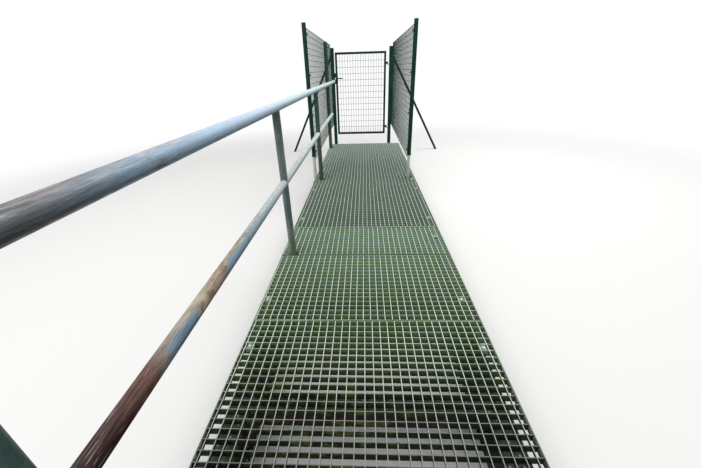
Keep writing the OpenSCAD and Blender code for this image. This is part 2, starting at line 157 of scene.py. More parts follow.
def block(name: str, low: Sequence[float], high: Sequence[float]) -> Object:
    """Adds a box between two corners.

    Args:
        name: The piece's name.
        low: The lowest corner.
        high: The highest corner.

    Returns:
        The box.
    """
    clear_selection()
    middle = [(a + b) / 2 for a, b in zip(low, high)]
    size = [b - a for a, b in zip(low, high)]
    bpy.ops.mesh.primitive_cube_add(size=1, location=middle, scale=size)
    return settle(name)


def rod(name: str, start: Sequence[float], end: Sequence[float], radius: float, sides: int = 16) -> Object:
    """Adds a round bar between two points.

    Args:
        name: The piece's name.
        start: The middle of one end.
        end: The middle of the other end.
        radius: The bar's radius.
        sides: The number of flat sides it is made of.

    Returns:
        The bar, with closed ends.
    """
    clear_selection()
    axis = Vector(end) - Vector(start)
    bpy.ops.mesh.primitive_cylinder_add(
        vertices=sides,
        radius=radius,
        depth=axis.length,
        location=(Vector(start) + Vector(end)) / 2,
        rotation=axis.to_track_quat("Z", "Y").to_euler(),
    )
    return settle(name)


def ring(name: str, centre: Sequence[float], radius: float, thickness: float) -> Object:
    """Adds a level ring of round section.

    Args:
        name: The piece's name.
        centre: The ring's middle.
        radius: The radius of its centre line.
        thickness: The radius of its section.

    Returns:
        The ring.
    """
    clear_selection()
    bpy.ops.mesh.primitive_torus_add(
        major_radius=radius, minor_radius=thickness, major_segments=32, minor_segments=8, location=centre
    )
    return settle(name)


def shape(piece: Object, kind: Element, test: Test, action: Callable[[], object]) -> Object:
    """Runs an operator of edit mode on the edges or faces that pass a test.

    Args:
        piece: The piece to shape.
        kind: Whether edges or faces are picked.
        test: Says whether an edge or face is picked.
        action: The operator's call.

    Returns:
        The same piece.
    """
    activate(piece)
    bpy.ops.object.mode_set(mode="EDIT")
    bpy.ops.mesh.select_mode(type=kind.value)
    bpy.ops.mesh.select_all(action="DESELECT")
    mesh = bmesh.from_edit_mesh(piece.data)
    for part in mesh.edges if kind is Element.EDGE else mesh.faces:
        part.select_set(bool(test(part)))
    bmesh.update_edit_mesh(piece.data)
    action()
    bpy.ops.object.mode_set(mode="OBJECT")
    return piece


def extrude(piece: Object, test: Test, way: Point) -> Object:
    """Pulls new walls a given way out of the faces that pass a test."""
    pull = bpy.ops.mesh.extrude_region_move
    return shape(piece, Element.FACE, test, lambda: pull(TRANSFORM_OT_translate={"value": way}))


def way_of(edge: BMEdge) -> Vector:
    """Gives the way from one end of an edge to the other."""
    return edge.verts[1].co - edge.verts[0].co


def runs_along(axis: Axis) -> Test:
    """Makes a test for edges along an axis."""
    return lambda edge: abs(way_of(edge)[axis]) > ALIGNED * way_of(edge).length


def faces_to(axis: Axis, sign: int) -> Test:
    """Makes a test for faces that look up an axis with sign 1, or down it with sign -1."""
    return lambda face: face.normal[axis] * sign > ALIGNED


def past(axis: Axis, place: float, sign: int = 1) -> Test:
    """Makes a test for edges that lie wholly past a place on an axis, or short of it with sign -1."""
    return lambda edge: all((vert.co[axis] - place) * sign > 0 for vert in edge.verts)


def modify(piece: Object, kind: str, **settings: object) -> Object:
    """Adds a modifier and applies it.

    Args:
        piece: The piece to change.
        kind: The modifier's type.
        **settings: The modifier's settings by name.

    Returns:
        The same piece.
    """
    activate(piece)
    modifier = piece.modifiers.new(kind.title(), kind)
    for key, value in settings.items():
        setattr(modifier, key, value)
    bpy.ops.object.modifier_apply(modifier=modifier.name)
    return piece


def soften(piece: Object, width: float, segments: int = 2, test: Test | None = None) -> Object:
    """Bevels some or all edges.

    Args:
        piece: The piece to shape.
        width: The bevel's width.
        segments: The number of steps across it.
        test: Picks the edges; all sharp ones where it is left out.

    Returns:
        The same piece.
    """
    if test is None:
        settings = {"limit_method": "ANGLE", "angle_limit": SHARP_ABOVE}
        return modify(piece, "BEVEL", width=width, segments=segments, **settings)
    settings = {"offset": width, "segments": segments, "affect": "EDGES", "clamp_overlap": True}
    return shape(piece, Element.EDGE, test, lambda: bpy.ops.mesh.bevel(**settings))


def break_top(bar: Object, axis: Axis, top: float, width: float) -> Object:
    """Bevels the upper long edges of a bar along an axis."""
    along, upper = runs_along(axis), past(Axis.Z, top - CLOSE)
    return soften(bar, width, 1, lambda edge: along(edge) and upper(edge))


def repeat(piece: Object, count: int, step: Point) -> Object:
    """Copies a piece in a row within its own mesh, a step from one to the next."""
    offset = {"use_relative_offset": False, "use_constant_offset": True, "constant_offset_displace": step}
    return modify(piece, "ARRAY", count=count, **offset)


def copy_to(piece: Object, name: str, shift: Point) -> Object:
    """Copies a piece with a mesh of its own.

    Args:
        piece: The piece to copy.
        name: The copy's name.
        shift: The way from the piece to the copy.

    Returns:
        The copy.
    """
    activate(piece)
    bpy.ops.object.duplicate(linked=False)
    bpy.context.view_layer.objects.active.location = shift
    return settle(name)


def join(name: str, pieces: Sequence[Object]) -> Object:
    """Joins several objects into one piece.

    Args:
        name: The joined piece's name.
        pieces: The objects to join.

    Returns:
        The joined piece.
    """
    activate(pieces[0])
    for piece in pieces[1:]:
        piece.select_set(True)
    bpy.ops.object.join()
    return settle(name)


def cut(piece: Object, cutters: Sequence[Object]) -> Object:
    """Cuts boxes out of a piece and deletes the boxes.

    Args:
        piece: The piece to cut.
        cutters: The boxes.

    Returns:
        The same piece.
    """
    for cutter in cutters:
        modify(piece, "BOOLEAN", operation="DIFFERENCE", solver="EXACT", object=cutter)
        bpy.data.objects.remove(cutter)
    return piece


def smooth(piece: Object) -> None:
    """Shades a piece smooth, except at its sharp edges."""
    activate(piece)
    bpy.ops.object.shade_smooth_by_angle(angle=SMOOTH_BELOW)


# Materials


class Bench:
    """Lays and links the nodes of one tree."""

    def __init__(self, tree: NodeTree) -> None:
        """Starts with an empty tree.

        Args:
            tree: The tree to work in, which is emptied.
        """
        tree.nodes.clear()
        self.tree = tree
        self.count = 0

    def add(self, kind: str, inputs: dict[object, object] | None = None, **settings: object) -> Node:
        """Adds a node.

        Args:
            kind: The node's type.
            inputs: Values or sockets for its inputs, by name or number.
            **settings: The node's settings by name.

        Returns:
            The node.
        """
        node = self.tree.nodes.new(kind)
        column, row = divmod(self.count, NODE_ROWS)
        node.location = (NODE_ACROSS * column, NODE_DOWN * row)
        self.count += 1
        for key, value in settings.items():
            setattr(node, key, value)
        for key, value in (inputs or {}).items():
            if isinstance(value, NodeSocket):
                self.tree.links.new(value, node.inputs[key])
            elif node.inputs[key].type == "RGBA":
                node.inputs[key].default_value = (*value, 1.0)
            else:
                node.inputs[key].default_value = value
        return node

    def parts(self, vector: NodeSocket) -> Sockets:
        """Splits a vector into X, Y and Z."""
        return self.add("ShaderNodeSeparateXYZ", {"Vector": vector}).outputs

    def math(self, operation: str, first: object, second: object = 0.0) -> NodeSocket:
        """Adds a Math node."""
        return self.add("ShaderNodeMath", {0: first, 1: second}, operation=operation).outputs[0]

    def vector_math(self, operation: str, first: NodeSocket, second: object = EVEN) -> Sockets:
        """Adds a Vector Math node."""
        return self.add("ShaderNodeVectorMath", {0: first, 1: second}, operation=operation).outputs

    def times(self, first: object, second: object) -> NodeSocket:
        """Multiplies two values."""
        return self.math("MULTIPLY", first, second)

    def fade(
        self, value: NodeSocket, low: object, high: object, bottom: float = 0.0, top: float = 1.0
    ) -> NodeSocket:
        """Goes smoothly from bottom to top while the value goes from low to high."""
        inputs = {"Value": value, "From Min": low, "From Max": high, "To Min": bottom, "To Max": top}
        return self.add("ShaderNodeMapRange", inputs, interpolation_type="SMOOTHSTEP").outputs["Result"]

    def scale(self, mask: NodeSocket, bottom: float, top: float) -> NodeSocket:
        """Gives bottom where the mask is 0, top where it is 1, and a smooth step between."""
        return self.fade(mask, 0.0, 1.0, bottom, top)

    def blend(self, mask: object, under: object, over: object, mode: str = "MIX") -> NodeSocket:
        """Lays one colour over another, as far as the mask shows it."""
        inputs = {0: mask, 6: under, 7: over}
        return self.add("ShaderNodeMix", inputs, data_type="RGBA", blend_type=mode).outputs[2]

    def tint(self, mask: NodeSocket, under: NodeSocket, over: Colour) -> NodeSocket:
        """Multiplies a colour by another, as far as the mask shows it."""
        return self.blend(mask, under, over, "MULTIPLY")

    def ramp(self, value: NodeSocket, stops: Stops) -> NodeSocket:
        """Gives a colour that changes from stop to stop.

        Args:
            value: Where the place lies.
            stops: Places with their colours, in rising order.

        Returns:
            The colour.
        """
        start, length = stops[0][0], stops[-1][0] - stops[0][0]
        way = self.math("DIVIDE", self.math("SUBTRACT", value, start), length)
        ramp = self.add("ShaderNodeValToRGB", {"Fac": way})
        elements = ramp.color_ramp.elements
        for place, colour in stops[1:-1]:
            elements.new((place - start) / length).color = (*colour, 1.0)
        elements[0].color = (*stops[0][1], 1.0)
        elements[-1].color = (*stops[-1][1], 1.0)
        return ramp.outputs["Color"]


class Effect(Enum):
    """The shared node groups: each one's name, inputs with their first values, and outputs."""

    PATCHES = (
        "Soft patches",
        {"Vector": None, "Stretch": EVEN, "Scale": 5.0, "Level": 0.5, "Softness": 0.1},
        ("Mask",),
    )
    SPOTS = ("Scattered spots", {"Vector": None, "Scale": 60.0, "Size": 0.4, "Share": 0.3}, ("Mask",))
    TOPS = ("Upward faces", {"Normal": None, "Low": 0.4, "High": 0.9}, ("Mask",))
    GRAIN = ("Fine grain", {"Vector": None, "Stretch": EVEN, "Scale": 300.0}, ("Tone", "Height"))
    SPANGLE = ("Zinc spangle", {"Vector": None, "Scale": 90.0}, ("Tone",))
    AROUND = ("Around a place", {"Vector": None, "Place": EVEN, "Near": 0.1, "Far": 0.3}, ("Mask",))


class Effects:
    """Builds each shared node group once and hands it out."""

    spot_core = 0.6
    grain_low = 0.3
    grain_high = 0.7

    def __init__(self) -> None:
        """Starts with no groups."""
        self.trees: dict[Effect, NodeTree] = {}

    def tree(self, effect: Effect) -> NodeTree:
        """Gives a group, which is built the first time.

        Args:
            effect: Which group.

        Returns:
            Its node tree.
        """
        if effect in self.trees:
            return self.trees[effect]
        name, inputs, outputs = effect.value
        tree = bpy.data.node_groups.new(name, "ShaderNodeTree")
        for title, value in inputs.items():
            kind = "NodeSocketFloat" if isinstance(value, float) else "NodeSocketVector"
            socket = tree.interface.new_socket(title, in_out="INPUT", socket_type=kind)
            if value is not None:
                socket.default_value = value
        for title in outputs:
            tree.interface.new_socket(title, in_out="OUTPUT", socket_type="NodeSocketFloat")
        bench = Bench(tree)
        results = self.lay(effect, bench, bench.add("NodeGroupInput").outputs)
        bench.add("NodeGroupOutput", dict(zip(outputs, results)))
        self.trees[effect] = tree
        return tree

    def noise(self, bench: Bench, given: Sockets, detail: float, roughness: float) -> NodeSocket:
        """Lays noise, stretched along an axis where it makes streaks.

        Args:
            bench: The group's bench.
            given: The group's inputs.
            detail: How many finer noises it holds.
            roughness: How strong they are.

        Returns:
            The noise, from 0 to 1.
        """
        spot = bench.vector_math("MULTIPLY", given["Vector"], given["Stretch"])[0]
        inputs = {"Vector": spot, "Scale": given["Scale"], "Detail": detail, "Roughness": roughness}
        return bench.add("ShaderNodeTexNoise", inputs).outputs["Fac"]

    def cells(self, bench: Bench, given: Sockets) -> tuple[NodeSocket, Sequence[NodeSocket]]:
        """Lays cells, and gives the distance to each one's middle and three chances of its own."""
        cells = bench.add("ShaderNodeTexVoronoi", {key: given[key] for key in ("Vector", "Scale")}).outputs
        return cells["Distance"], bench.add("ShaderNodeSeparateColor", {"Color": cells["Color"]}).outputs

    def lay(self, effect: Effect, bench: Bench, given: Sockets) -> tuple[NodeSocket, ...]:
        """Lays the nodes of a group.

        Args:
            effect: Which group.
            bench: The group's bench.
            given: The group's inputs.

        Returns:
            What the group puts out, in the order of its outputs.
        """
        match effect:
            case Effect.PATCHES:
                noise = self.noise(bench, given, detail=4.0, roughness=0.6)
                low = bench.math("SUBTRACT", given["Level"], given["Softness"])
                high = bench.math("ADD", given["Level"], given["Softness"])
                return (bench.fade(noise, low, high),)
            case Effect.SPOTS:
                distance, chances = self.cells(bench, given)
                kept = bench.math("LESS_THAN", chances[0], given["Share"])
                core = bench.times(given["Size"], self.spot_core)
                return (bench.times(bench.fade(distance, core, given["Size"], 1.0, 0.0), kept),)
            case Effect.TOPS:
                return (bench.fade(bench.parts(given["Normal"])["Z"], given["Low"], given["High"]),)
            case Effect.GRAIN:
                noise = self.noise(bench, given, detail=6.0, roughness=0.65)
                return bench.fade(noise, self.grain_low, self.grain_high), noise
            case Effect.SPANGLE:
                return (self.cells(bench, given)[1][1],)
            case Effect.AROUND:
                way = bench.vector_math("DISTANCE", given["Vector"], given["Place"])["Value"]
                return (bench.fade(way, given["Near"], given["Far"], 1.0, 0.0),)


class Surface(Bench):
    """A material's bench, which knows where each spot of the piece lies and which way it faces."""

    def __init__(self, material: Material, effects: Effects) -> None:
        """Starts the material with its coordinates.

        Args:
            material: The material, whose tree is emptied.
            effects: The shared node groups.
        """
        material.use_nodes = True
        super().__init__(material.node_tree)
        self.effects = effects
        where = self.add("ShaderNodeTexCoord").outputs
        self.known = {"Vector": where["Object"], "Normal": where["Normal"]}

    @cached_property
    def place(self) -> Sockets:
        """Gives the place on the piece as X, Y and Z."""
        return self.parts(self.known["Vector"])

    @property
    def along(self) -> NodeSocket:
        """Gives the place along the deck."""
        return self.place["Y"]

    def group(self, effect: Effect, **inputs: object) -> Sequence[NodeSocket]:
        """Puts a shared group into the material.

        Args:
            effect: Which group.
            **inputs: Its values or sockets by name, apart from place and normal.

        Returns:
            The group's outputs.
        """
        known = {name: socket for name, socket in self.known.items() if name in effect.value[1]}
        return self.add("ShaderNodeGroup", known | inputs, node_tree=self.effects.tree(effect)).outputs

    def patches(
        self, scale: float, level: object, softness: float, stretch: Point = EVEN, share: float = 1.0
    ) -> NodeSocket:
        """Lays patches, finer with a higher scale, rarer with a higher level and up to a share."""
        mask = self.group(Effect.PATCHES, Scale=scale, Level=level, Softness=softness, Stretch=stretch)[0]
        return mask if share == 1.0 else self.times(mask, share)

    def spots(self, scale: float, size: float, share: float) -> NodeSocket:
        """Lays small round spots in a share of the cells of a pattern."""
        return self.group(Effect.SPOTS, Scale=scale, Size=size, Share=share)[0]

    def spangle(self, scale: float, share: float) -> NodeSocket:
        """Lays zinc crystals, each with a tone of its own, up to a share."""
        return self.times(self.group(Effect.SPANGLE, Scale=scale)[0], share)

    def tops(self, low: float = 0.4, high: float = 0.9) -> NodeSocket:
        """Shows what looks up: nothing below the low share of upright, all above the high one."""
        return self.group(Effect.TOPS, Low=low, High=high)[0]


@dataclass(frozen=True)
class Finish:
    """What all finishes share: a name, a slot of the record and the shader's own values."""

    name: str
    slot: Slot
    metallic: float = 0.0
    roughness: float = 0.5
    rough_swing: float = 0.12
    grain_scale: float = 300.0
    grain_stretch: Point = EVEN
    bump: float = 0.15
    bump_depth: float = 0.001
    gloss: float = 0.5

    def material(self, effects: Effects) -> Material:
        """Builds the material.

        Args:
            effects: The shared node groups.

        Returns:
            The material.
        """
        made = bpy.data.materials.new(self.name)
        on = Surface(made, effects)
        colour = self.colour(on)
        tone, height = on.group(Effect.GRAIN, Scale=self.grain_scale, Stretch=self.grain_stretch)
        rough = on.scale(tone, self.roughness - self.rough_swing, self.roughness + self.rough_swing)
        uneven = {"Strength": self.bump, "Distance": self.bump_depth, "Height": height}
        inputs = {
            "Base Color": colour,
            "Roughness": rough,
            "Metallic": self.metallic,
            "Specular IOR Level": self.gloss,
            "Normal": on.add("ShaderNodeBump", uneven).outputs[0],
        }
        shader = on.add("ShaderNodeBsdfPrincipled", inputs)
        on.add("ShaderNodeOutputMaterial", {"Surface": shader.outputs[0]})
        return made

    def colour(self, on: Surface) -> NodeSocket:
        """Lays the colours of the finish and gives the last one."""
        raise NotImplementedError


# Colours along the deck from the near end: darker towards the near end and lighter further on, partly the
# grating's own dirt and moss and partly painted shade and light
BAR_FACES = (
    (-2.75, (0.012, 0.016, 0.011)),
    (-2.28, (0.015, 0.020, 0.013)),
    (-2.08, (0.055, 0.080, 0.045)),
    (-1.82, (0.165, 0.235, 0.130)),
    (-1.45, (0.250, 0.335, 0.205)),
    (-1.05, (0.350, 0.460, 0.340)),
    (-0.75, (0.350, 0.450, 0.340)),
    (-0.71, (0.185, 0.245, 0.205)),
    (1.00, (0.230, 0.280, 0.250)),
    (2.30, (0.420, 0.470, 0.450)),
)
BEARING_TOPS = (
    (-2.75, (0.10, 0.11, 0.10)),
    (-2.30, (0.14, 0.16, 0.13)),
    (-1.85, (0.37, 0.43, 0.34)),
    (0.80, (0.37, 0.43, 0.37)),
    (2.30, (0.55, 0.61, 0.58)),
)
FILL_TOPS = (
    (-2.75, (0.20, 0.21, 0.20)),
    (-2.32, (0.27, 0.30, 0.28)),
    (-2.15, (0.46, 0.50, 0.44)),
    (-1.85, (0.68, 0.78, 0.64)),
    (2.30, (0.68, 0.76, 0.70)),
)
FLAT_FACES = (
    (-2.75, (0.070, 0.085, 0.080)),
    (-2.25, (0.120, 0.150, 0.150)),
    (-1.75, (0.180, 0.220, 0.200)),
    (2.30, (0.220, 0.270, 0.230)),
)


@dataclass(frozen=True)
class GratingFinish(Finish):
    """Weathered zinc: pale worn tops and mossy faces, yellow-green in one patch, with painted shade
    darkening the faces towards the bars' feet.
    """

    slot: Slot = Slot.GRATING
    metallic: float = 0.1
    bump: float = 0.3
    gloss: float = 0.2
    tops: Stops = BEARING_TOPS
    faces: Stops = BAR_FACES
    cool: Colour = (0.86, 0.98, 1.22)
    moss: Colour = (0.90, 1.08, 0.66)
    yellow: Colour = (0.16, 0.20, 0.04)
    # Dark colour of the dirt patches and the dark line at the panels' joint, and of the painted shade at the
    # bars' feet
    grime_and_painted_shade: Colour = (0.012, 0.014, 0.010)
    lichen: Colour = (0.45, 0.52, 0.48)
    lichen_share: float = 0.0
    wear: float = 0.35
    # Painted shade: the faces darken from their feet up to lit_from, by up to the given share
    foot: float = 0.157
    lit_from: float = 0.180
    foot_painted_shade: float = 0.8
    moss_place: Point = (-0.13, -2.05, 0.18)
    moss_near: float = 0.1
    moss_far: float = 0.6
    moss_share: float = 0.8
    saw_cut: float = -1.1354
    cut_dirt: float = 0.011
    cut_share: float = 0.8

    def sides(self, on: Surface) -> NodeSocket:
        """Lays moss and lichen on the bars' faces.

        Args:
            on: The material's bench.

        Returns:
            The faces' colour.
        """
        side = on.ramp(on.along, self.faces)
        side = on.tint(on.patches(scale=16.0, level=0.5, softness=0.13), side, self.cool)
        side = on.tint(on.patches(scale=11.0, level=0.52, softness=0.15), side, self.moss)
        heart = on.group(Effect.AROUND, Place=self.moss_place, Near=self.moss_near, Far=self.moss_far)[0]
        fleck = on.patches(scale=20.0, level=0.55, softness=0.07)
        side = on.blend(on.times(fleck, on.scale(heart, 0.0, self.moss_share)), side, self.yellow)
        grown = on.patches(scale=48.0, level=0.52, softness=0.06, share=self.lichen_share)
        return on.blend(grown, side, self.lichen)

    def colour(self, on: Surface) -> NodeSocket:
        """Lays worn tops over the faces, which darken towards the bars' feet with painted shade.

        Args:
            on: The material's bench.

        Returns:
            The colour.
        """
        # Painted shade: the faces darken towards the bars' feet, where less light reaches between them
        low = on.fade(on.place["Z"], self.foot, self.lit_from, self.foot_painted_shade, 0.0)
        side = on.blend(low, self.sides(on), self.grime_and_painted_shade)
        worn = on.patches(scale=13.0, level=0.54, softness=0.1, share=self.wear)
        top = on.blend(worn, on.ramp(on.along, self.tops), self.yellow)
        colour = on.blend(on.tops(low=0.2, high=0.6), side, top)
        dirty = on.patches(scale=60.0, level=0.67, softness=0.05, share=0.6)
        from_cut = on.math("ABSOLUTE", on.math("SUBTRACT", on.along, self.saw_cut))
        cut_line = on.fade(from_cut, self.cut_dirt / 2, self.cut_dirt, self.cut_share, 0.0)
        return on.blend(on.math("MAXIMUM", dirty, cut_line), colour, self.grime_and_painted_shade)


@dataclass(frozen=True)
class BeamFinish(Finish):
    """Dull zinc with lichen spots, and rust along the near edge of each crossbeam."""

    zinc: Colour = (0.085, 0.090, 0.080)
    dark: Colour = (0.035, 0.038, 0.032)
    rust: Colour = (0.070, 0.022, 0.015)
    lichen: Colour = (0.33, 0.36, 0.31)
    first_line: float = -2.7015
    line_pitch: float = 0.5217
    line_width: float = 0.010
    line_core: float = 0.7
    lichen_below: float = 0.25
    lichen_above: float = 0.9

    def colour(self, on: Surface) -> NodeSocket:
        """Lays rust and lichen over dull zinc.

        Args:
            on: The material's bench.

        Returns:
            The colour.
        """
        colour = on.blend(on.patches(scale=6.0, level=0.5, softness=0.15), self.zinc, self.dark)
        rusty = on.patches(scale=11.0, level=0.66, softness=0.05)
        turns = on.math("DIVIDE", on.math("SUBTRACT", on.along, self.first_line), self.line_pitch)
        inside = on.times(on.math("FRACT", turns), self.line_pitch)
        line = on.fade(inside, self.line_width * self.line_core, self.line_width, 1.0, 0.0)
        line = on.times(line, on.patches(scale=25.0, level=0.47, softness=0.06))
        colour = on.blend(on.math("MAXIMUM", rusty, line), colour, self.rust)
        grown = on.spots(scale=70.0, size=0.45, share=0.28)
        grown = on.times(grown, on.scale(on.tops(), self.lichen_below, self.lichen_above))
        return on.blend(grown, colour, self.lichen)


@dataclass(frozen=True)
class ZincFinish(Finish):
    """Galvanised tube with crystal flakes, upright run-off streaks, green feet and a darker head, which on
    the middle post is painted shadow under the top rail.
    """

    slot: Slot = Slot.POST_ZINC
    metallic: float = 0.3
    zinc: Colour = (0.095, 0.135, 0.130)
    light: Colour = (0.21, 0.28, 0.29)
    dark: Colour = (0.045, 0.065, 0.050)
    algae: Colour = (0.160, 0.195, 0.115)
    head: Colour = (0.62, 0.80, 0.92)
    foot: float = 0.19
    algae_height: float = 0.25
    head_from: float = 0.55
    head_to: float = 1.0

    def colour(self, on: Surface) -> NodeSocket:
        """Lays streaks and algae over flaked zinc.

        Args:
            on: The material's bench.

        Returns:
            The colour.
        """
        colour = on.blend(on.spangle(scale=110.0, share=0.35), self.zinc, self.light)
        runs = on.patches(scale=60.0, level=0.55, softness=0.12, stretch=(1.0, 1.0, 0.06), share=0.6)
        colour = on.blend(runs, colour, self.dark)
        bloom = on.patches(scale=35.0, level=0.6, softness=0.08, stretch=(1.0, 1.0, 0.25), share=0.6)
        colour = on.blend(bloom, colour, self.light)
        height = on.place["Z"]
        # The head tint; on the middle post it is painted shadow under the top rail
        colour = on.tint(on.fade(height, self.head_from, self.head_to), colour, self.head)
        low = on.fade(height, self.foot, self.foot + self.algae_height, 1.0, 0.0)
        grown = on.patches(scale=30.0, level=0.45, softness=0.15)
        return on.blend(on.times(low, grown), colour, self.algae)


# Rail colours and coat loss along the deck from the near end. The colours darken towards the near end and
# pale towards the far end: partly the rails' own rust and paint, partly painted shade and light
TOP_RAIL_BARE = (
    (-2.75, (0.05, 0.040, 0.044)),
    (-2.50, (0.11, 0.085, 0.090)),
    (-2.38, (0.22, 0.170, 0.180)),
    (-1.90, (0.30, 0.26, 0.25)),
    (2.65, (0.45, 0.45, 0.42)),
)
TOP_RAIL_COAT = (
    (-2.75, (0.040, 0.048, 0.056)),
    (-2.50, (0.100, 0.125, 0.145)),
    (-2.30, (0.215, 0.330, 0.425)),
    (-1.95, (0.350, 0.500, 0.640)),
    (-1.50, (0.490, 0.600, 0.740)),
    (0.30, (0.570, 0.760, 0.730)),
)
TOP_RAIL_LOSS = ((-2.75, 0.44), (-2.20, 0.34), (-1.50, 0.30), (2.65, 0.22))
MID_RAIL_BARE = (
    (-2.75, (0.010, 0.006, 0.006)),
    (-2.58, (0.030, 0.012, 0.012)),
    (-2.43, (0.135, 0.068, 0.055)),
    (-2.36, (0.340, 0.330, 0.290)),
    (-2.18, (0.370, 0.320, 0.240)),
    (-2.06, (0.270, 0.195, 0.140)),
    (-1.88, (0.210, 0.215, 0.150)),
    (-1.74, (0.280, 0.320, 0.320)),
    (-1.30, (0.420, 0.480, 0.490)),
    (0.30, (0.540, 0.670, 0.610)),
)
MID_RAIL_COAT = (
    (-2.75, (0.130, 0.200, 0.270)),
    (-2.30, (0.155, 0.225, 0.295)),
    (-1.90, (0.180, 0.260, 0.330)),
    (-1.55, (0.290, 0.360, 0.390)),
    (-1.30, (0.400, 0.450, 0.480)),
    (-0.60, (0.420, 0.460, 0.480)),
    (0.30, (0.550, 0.690, 0.630)),
)
MID_RAIL_LOSS = (
    (-2.75, 0.95),
    (-2.49, 0.80),
    (-2.36, 0.34),
    (-2.27, 0.34),
    (-2.18, 0.75),
    (-2.08, 0.72),
    (-1.98, 0.38),
    (2.10, 0.28),
)


@dataclass(frozen=True)
class RailFinish(Finish):
    """A blue coat worn to primer and brown rust in long streaks, paler along the rail and on the outer side,
    partly painted light, with painted shade on the lower side.
    """

    slot: Slot = Slot.RAIL_PAINT
    grain_stretch: Point = (1.0, 0.1, 1.0)
    bare: Stops = TOP_RAIL_BARE
    coat: Stops = TOP_RAIL_COAT
    loss: tuple[tuple[float, float], ...] = TOP_RAIL_LOSS
    outer_loss: float = 0.0
    worn: Colour = (0.40, 0.33, 0.33)
    worn_share: float = 0.6
    rubbed: float = 0.55
    # The outer side pales from pale_from on: partly its own paler colour, partly a painted highlight
    pale: Stops = ((-2.40, (0.74, 0.80, 0.88)), (-1.50, (0.60, 0.68, 0.76)))
    pale_share: float = 0.3
    pale_from: float = -2.4
    pale_until: float = -2.2
    scratch: Colour = (0.46, 0.42, 0.40)
    dark: Colour = (0.40, 0.34, 0.34)
    brown: Colour = (0.58, 0.47, 0.40)
    # Painted shade, multiplied onto the rail's lower side
    shade: Colour = (0.30, 0.32, 0.35)
    worn_from: float = -2.5
    worn_until: float = -1.8
    worn_far: float = 0.12
    streak_stretch: Point = (1.0, 0.045, 1.0)
    outer_until: float = 0.25
    inner_from: float = 0.7
    loss_until: float = 0.45
    outer_stain: float = 0.5
    pale_bright: float = 1.4
    pale_dull: float = 0.3

    def left_coat(self, on: Surface, side: NodeSocket) -> NodeSocket:
        """Tells where the coat is left.

        Args:
            on: The material's bench.
            side: 1 on the deck's side and 0 on the outer side.

        Returns:
            The mask of the coat.
        """
        level = on.ramp(on.along, tuple((place, (share,) * 3) for place, share in self.loss))
        level = on.math("ADD", level, on.fade(side, 0.0, self.loss_until, self.outer_loss, 0.0))
        return on.patches(scale=34.0, level=level, softness=0.075, stretch=(1.0, 0.3, 1.0))

    def streaks(
        self, on: Surface, near: NodeSocket, scale: float, level: float, softness: float, share: float
    ) -> NodeSocket:
        """Lays long thin streaks, up to a share of them, where the near end wears."""
        mask = on.patches(scale, level, softness, self.streak_stretch)
        return on.times(on.times(mask, near), share)

    def colour(self, on: Surface) -> NodeSocket:
        """Lays what is left of the coat over bare, streaked metal, and darkens the lower side with painted
        shade.

        Args:
            on: The material's bench.

        Returns:
            The colour.
        """
        near = on.fade(on.along, self.worn_from, self.worn_until, 1.0, self.worn_far)
        side = on.fade(on.parts(on.known["Normal"])["X"], self.outer_until, self.inner_from)
        stained = on.patches(scale=38.0, level=0.5, softness=0.08, stretch=(1.0, 0.4, 1.0))
        stained = on.times(stained, on.scale(side, self.outer_stain, 1.0))
        bare = on.tint(stained, on.ramp(on.along, self.bare), self.brown)
        colour = on.blend(self.left_coat(on, side), bare, on.ramp(on.along, self.coat))
        # The outer side turns pale from pale_from on, in patches: partly its own paler colour, partly a
        # painted highlight
        begun = on.fade(on.along, self.pale_from, self.pale_until)
        outer = on.times(on.scale(side, self.pale_share, 0.0), begun)
        dull = on.patches(scale=55.0, level=0.47, softness=0.1, stretch=(1.0, 0.5, 1.0))
        outer = on.times(outer, on.scale(dull, self.pale_bright, self.pale_dull))
        colour = on.blend(outer, colour, on.ramp(on.along, self.pale))
        rubbed = self.streaks(on, near, scale=340.0, level=self.rubbed, softness=0.09, share=0.55)
        colour = on.blend(rubbed, colour, bare)
        worn = self.streaks(on, near, scale=230.0, level=0.5, softness=0.1, share=self.worn_share)
        colour = on.blend(on.times(worn, on.tops(low=0.35, high=1.0)), colour, self.worn)
        gone = self.streaks(on, near, scale=400.0, level=0.56, softness=0.06, share=0.6)
        colour = on.tint(gone, colour, self.dark)
        scratched = self.streaks(on, near, scale=380.0, level=0.64, softness=0.03, share=0.6)
        colour = on.blend(scratched, colour, self.scratch)
        # Painted shade: the rail darkens towards its lower side
        painted_shade_below = on.math("SUBTRACT", 1.0, on.tops(low=-0.75, high=0.9))
        return on.tint(painted_shade_below, colour, self.shade)


@dataclass(frozen=True)
class GreenFinish(Finish):
    """Dark green coat with slight fading, dust on what looks up, and a few chips."""

    gloss: float = 0.1
    green: Colour = (0.002, 0.026, 0.015)
    faded: Colour = (0.005, 0.043, 0.029)
    dust: Colour = (0.05, 0.09, 0.07)
    chip: Colour = (0.34, 0.36, 0.34)
    chips: float = 0.05

    def colour(self, on: Surface) -> NodeSocket:
        """Lays dust and chips over the coat.

        Args:
            on: The material's bench.

        Returns:
            The colour.
        """
        colour = on.blend(on.patches(scale=8.0, level=0.55, softness=0.2), self.green, self.faded)
        runs = on.patches(scale=50.0, level=0.6, softness=0.1, stretch=(1.0, 1.0, 0.05), share=0.25)
        colour = on.blend(runs, colour, self.dust)
        lying = on.times(on.tops(), on.patches(scale=45.0, level=0.45, softness=0.15, share=0.6))
        colour = on.blend(lying, colour, self.dust)
        return on.blend(on.spots(scale=45.0, size=0.16, share=self.chips), colour, self.chip)


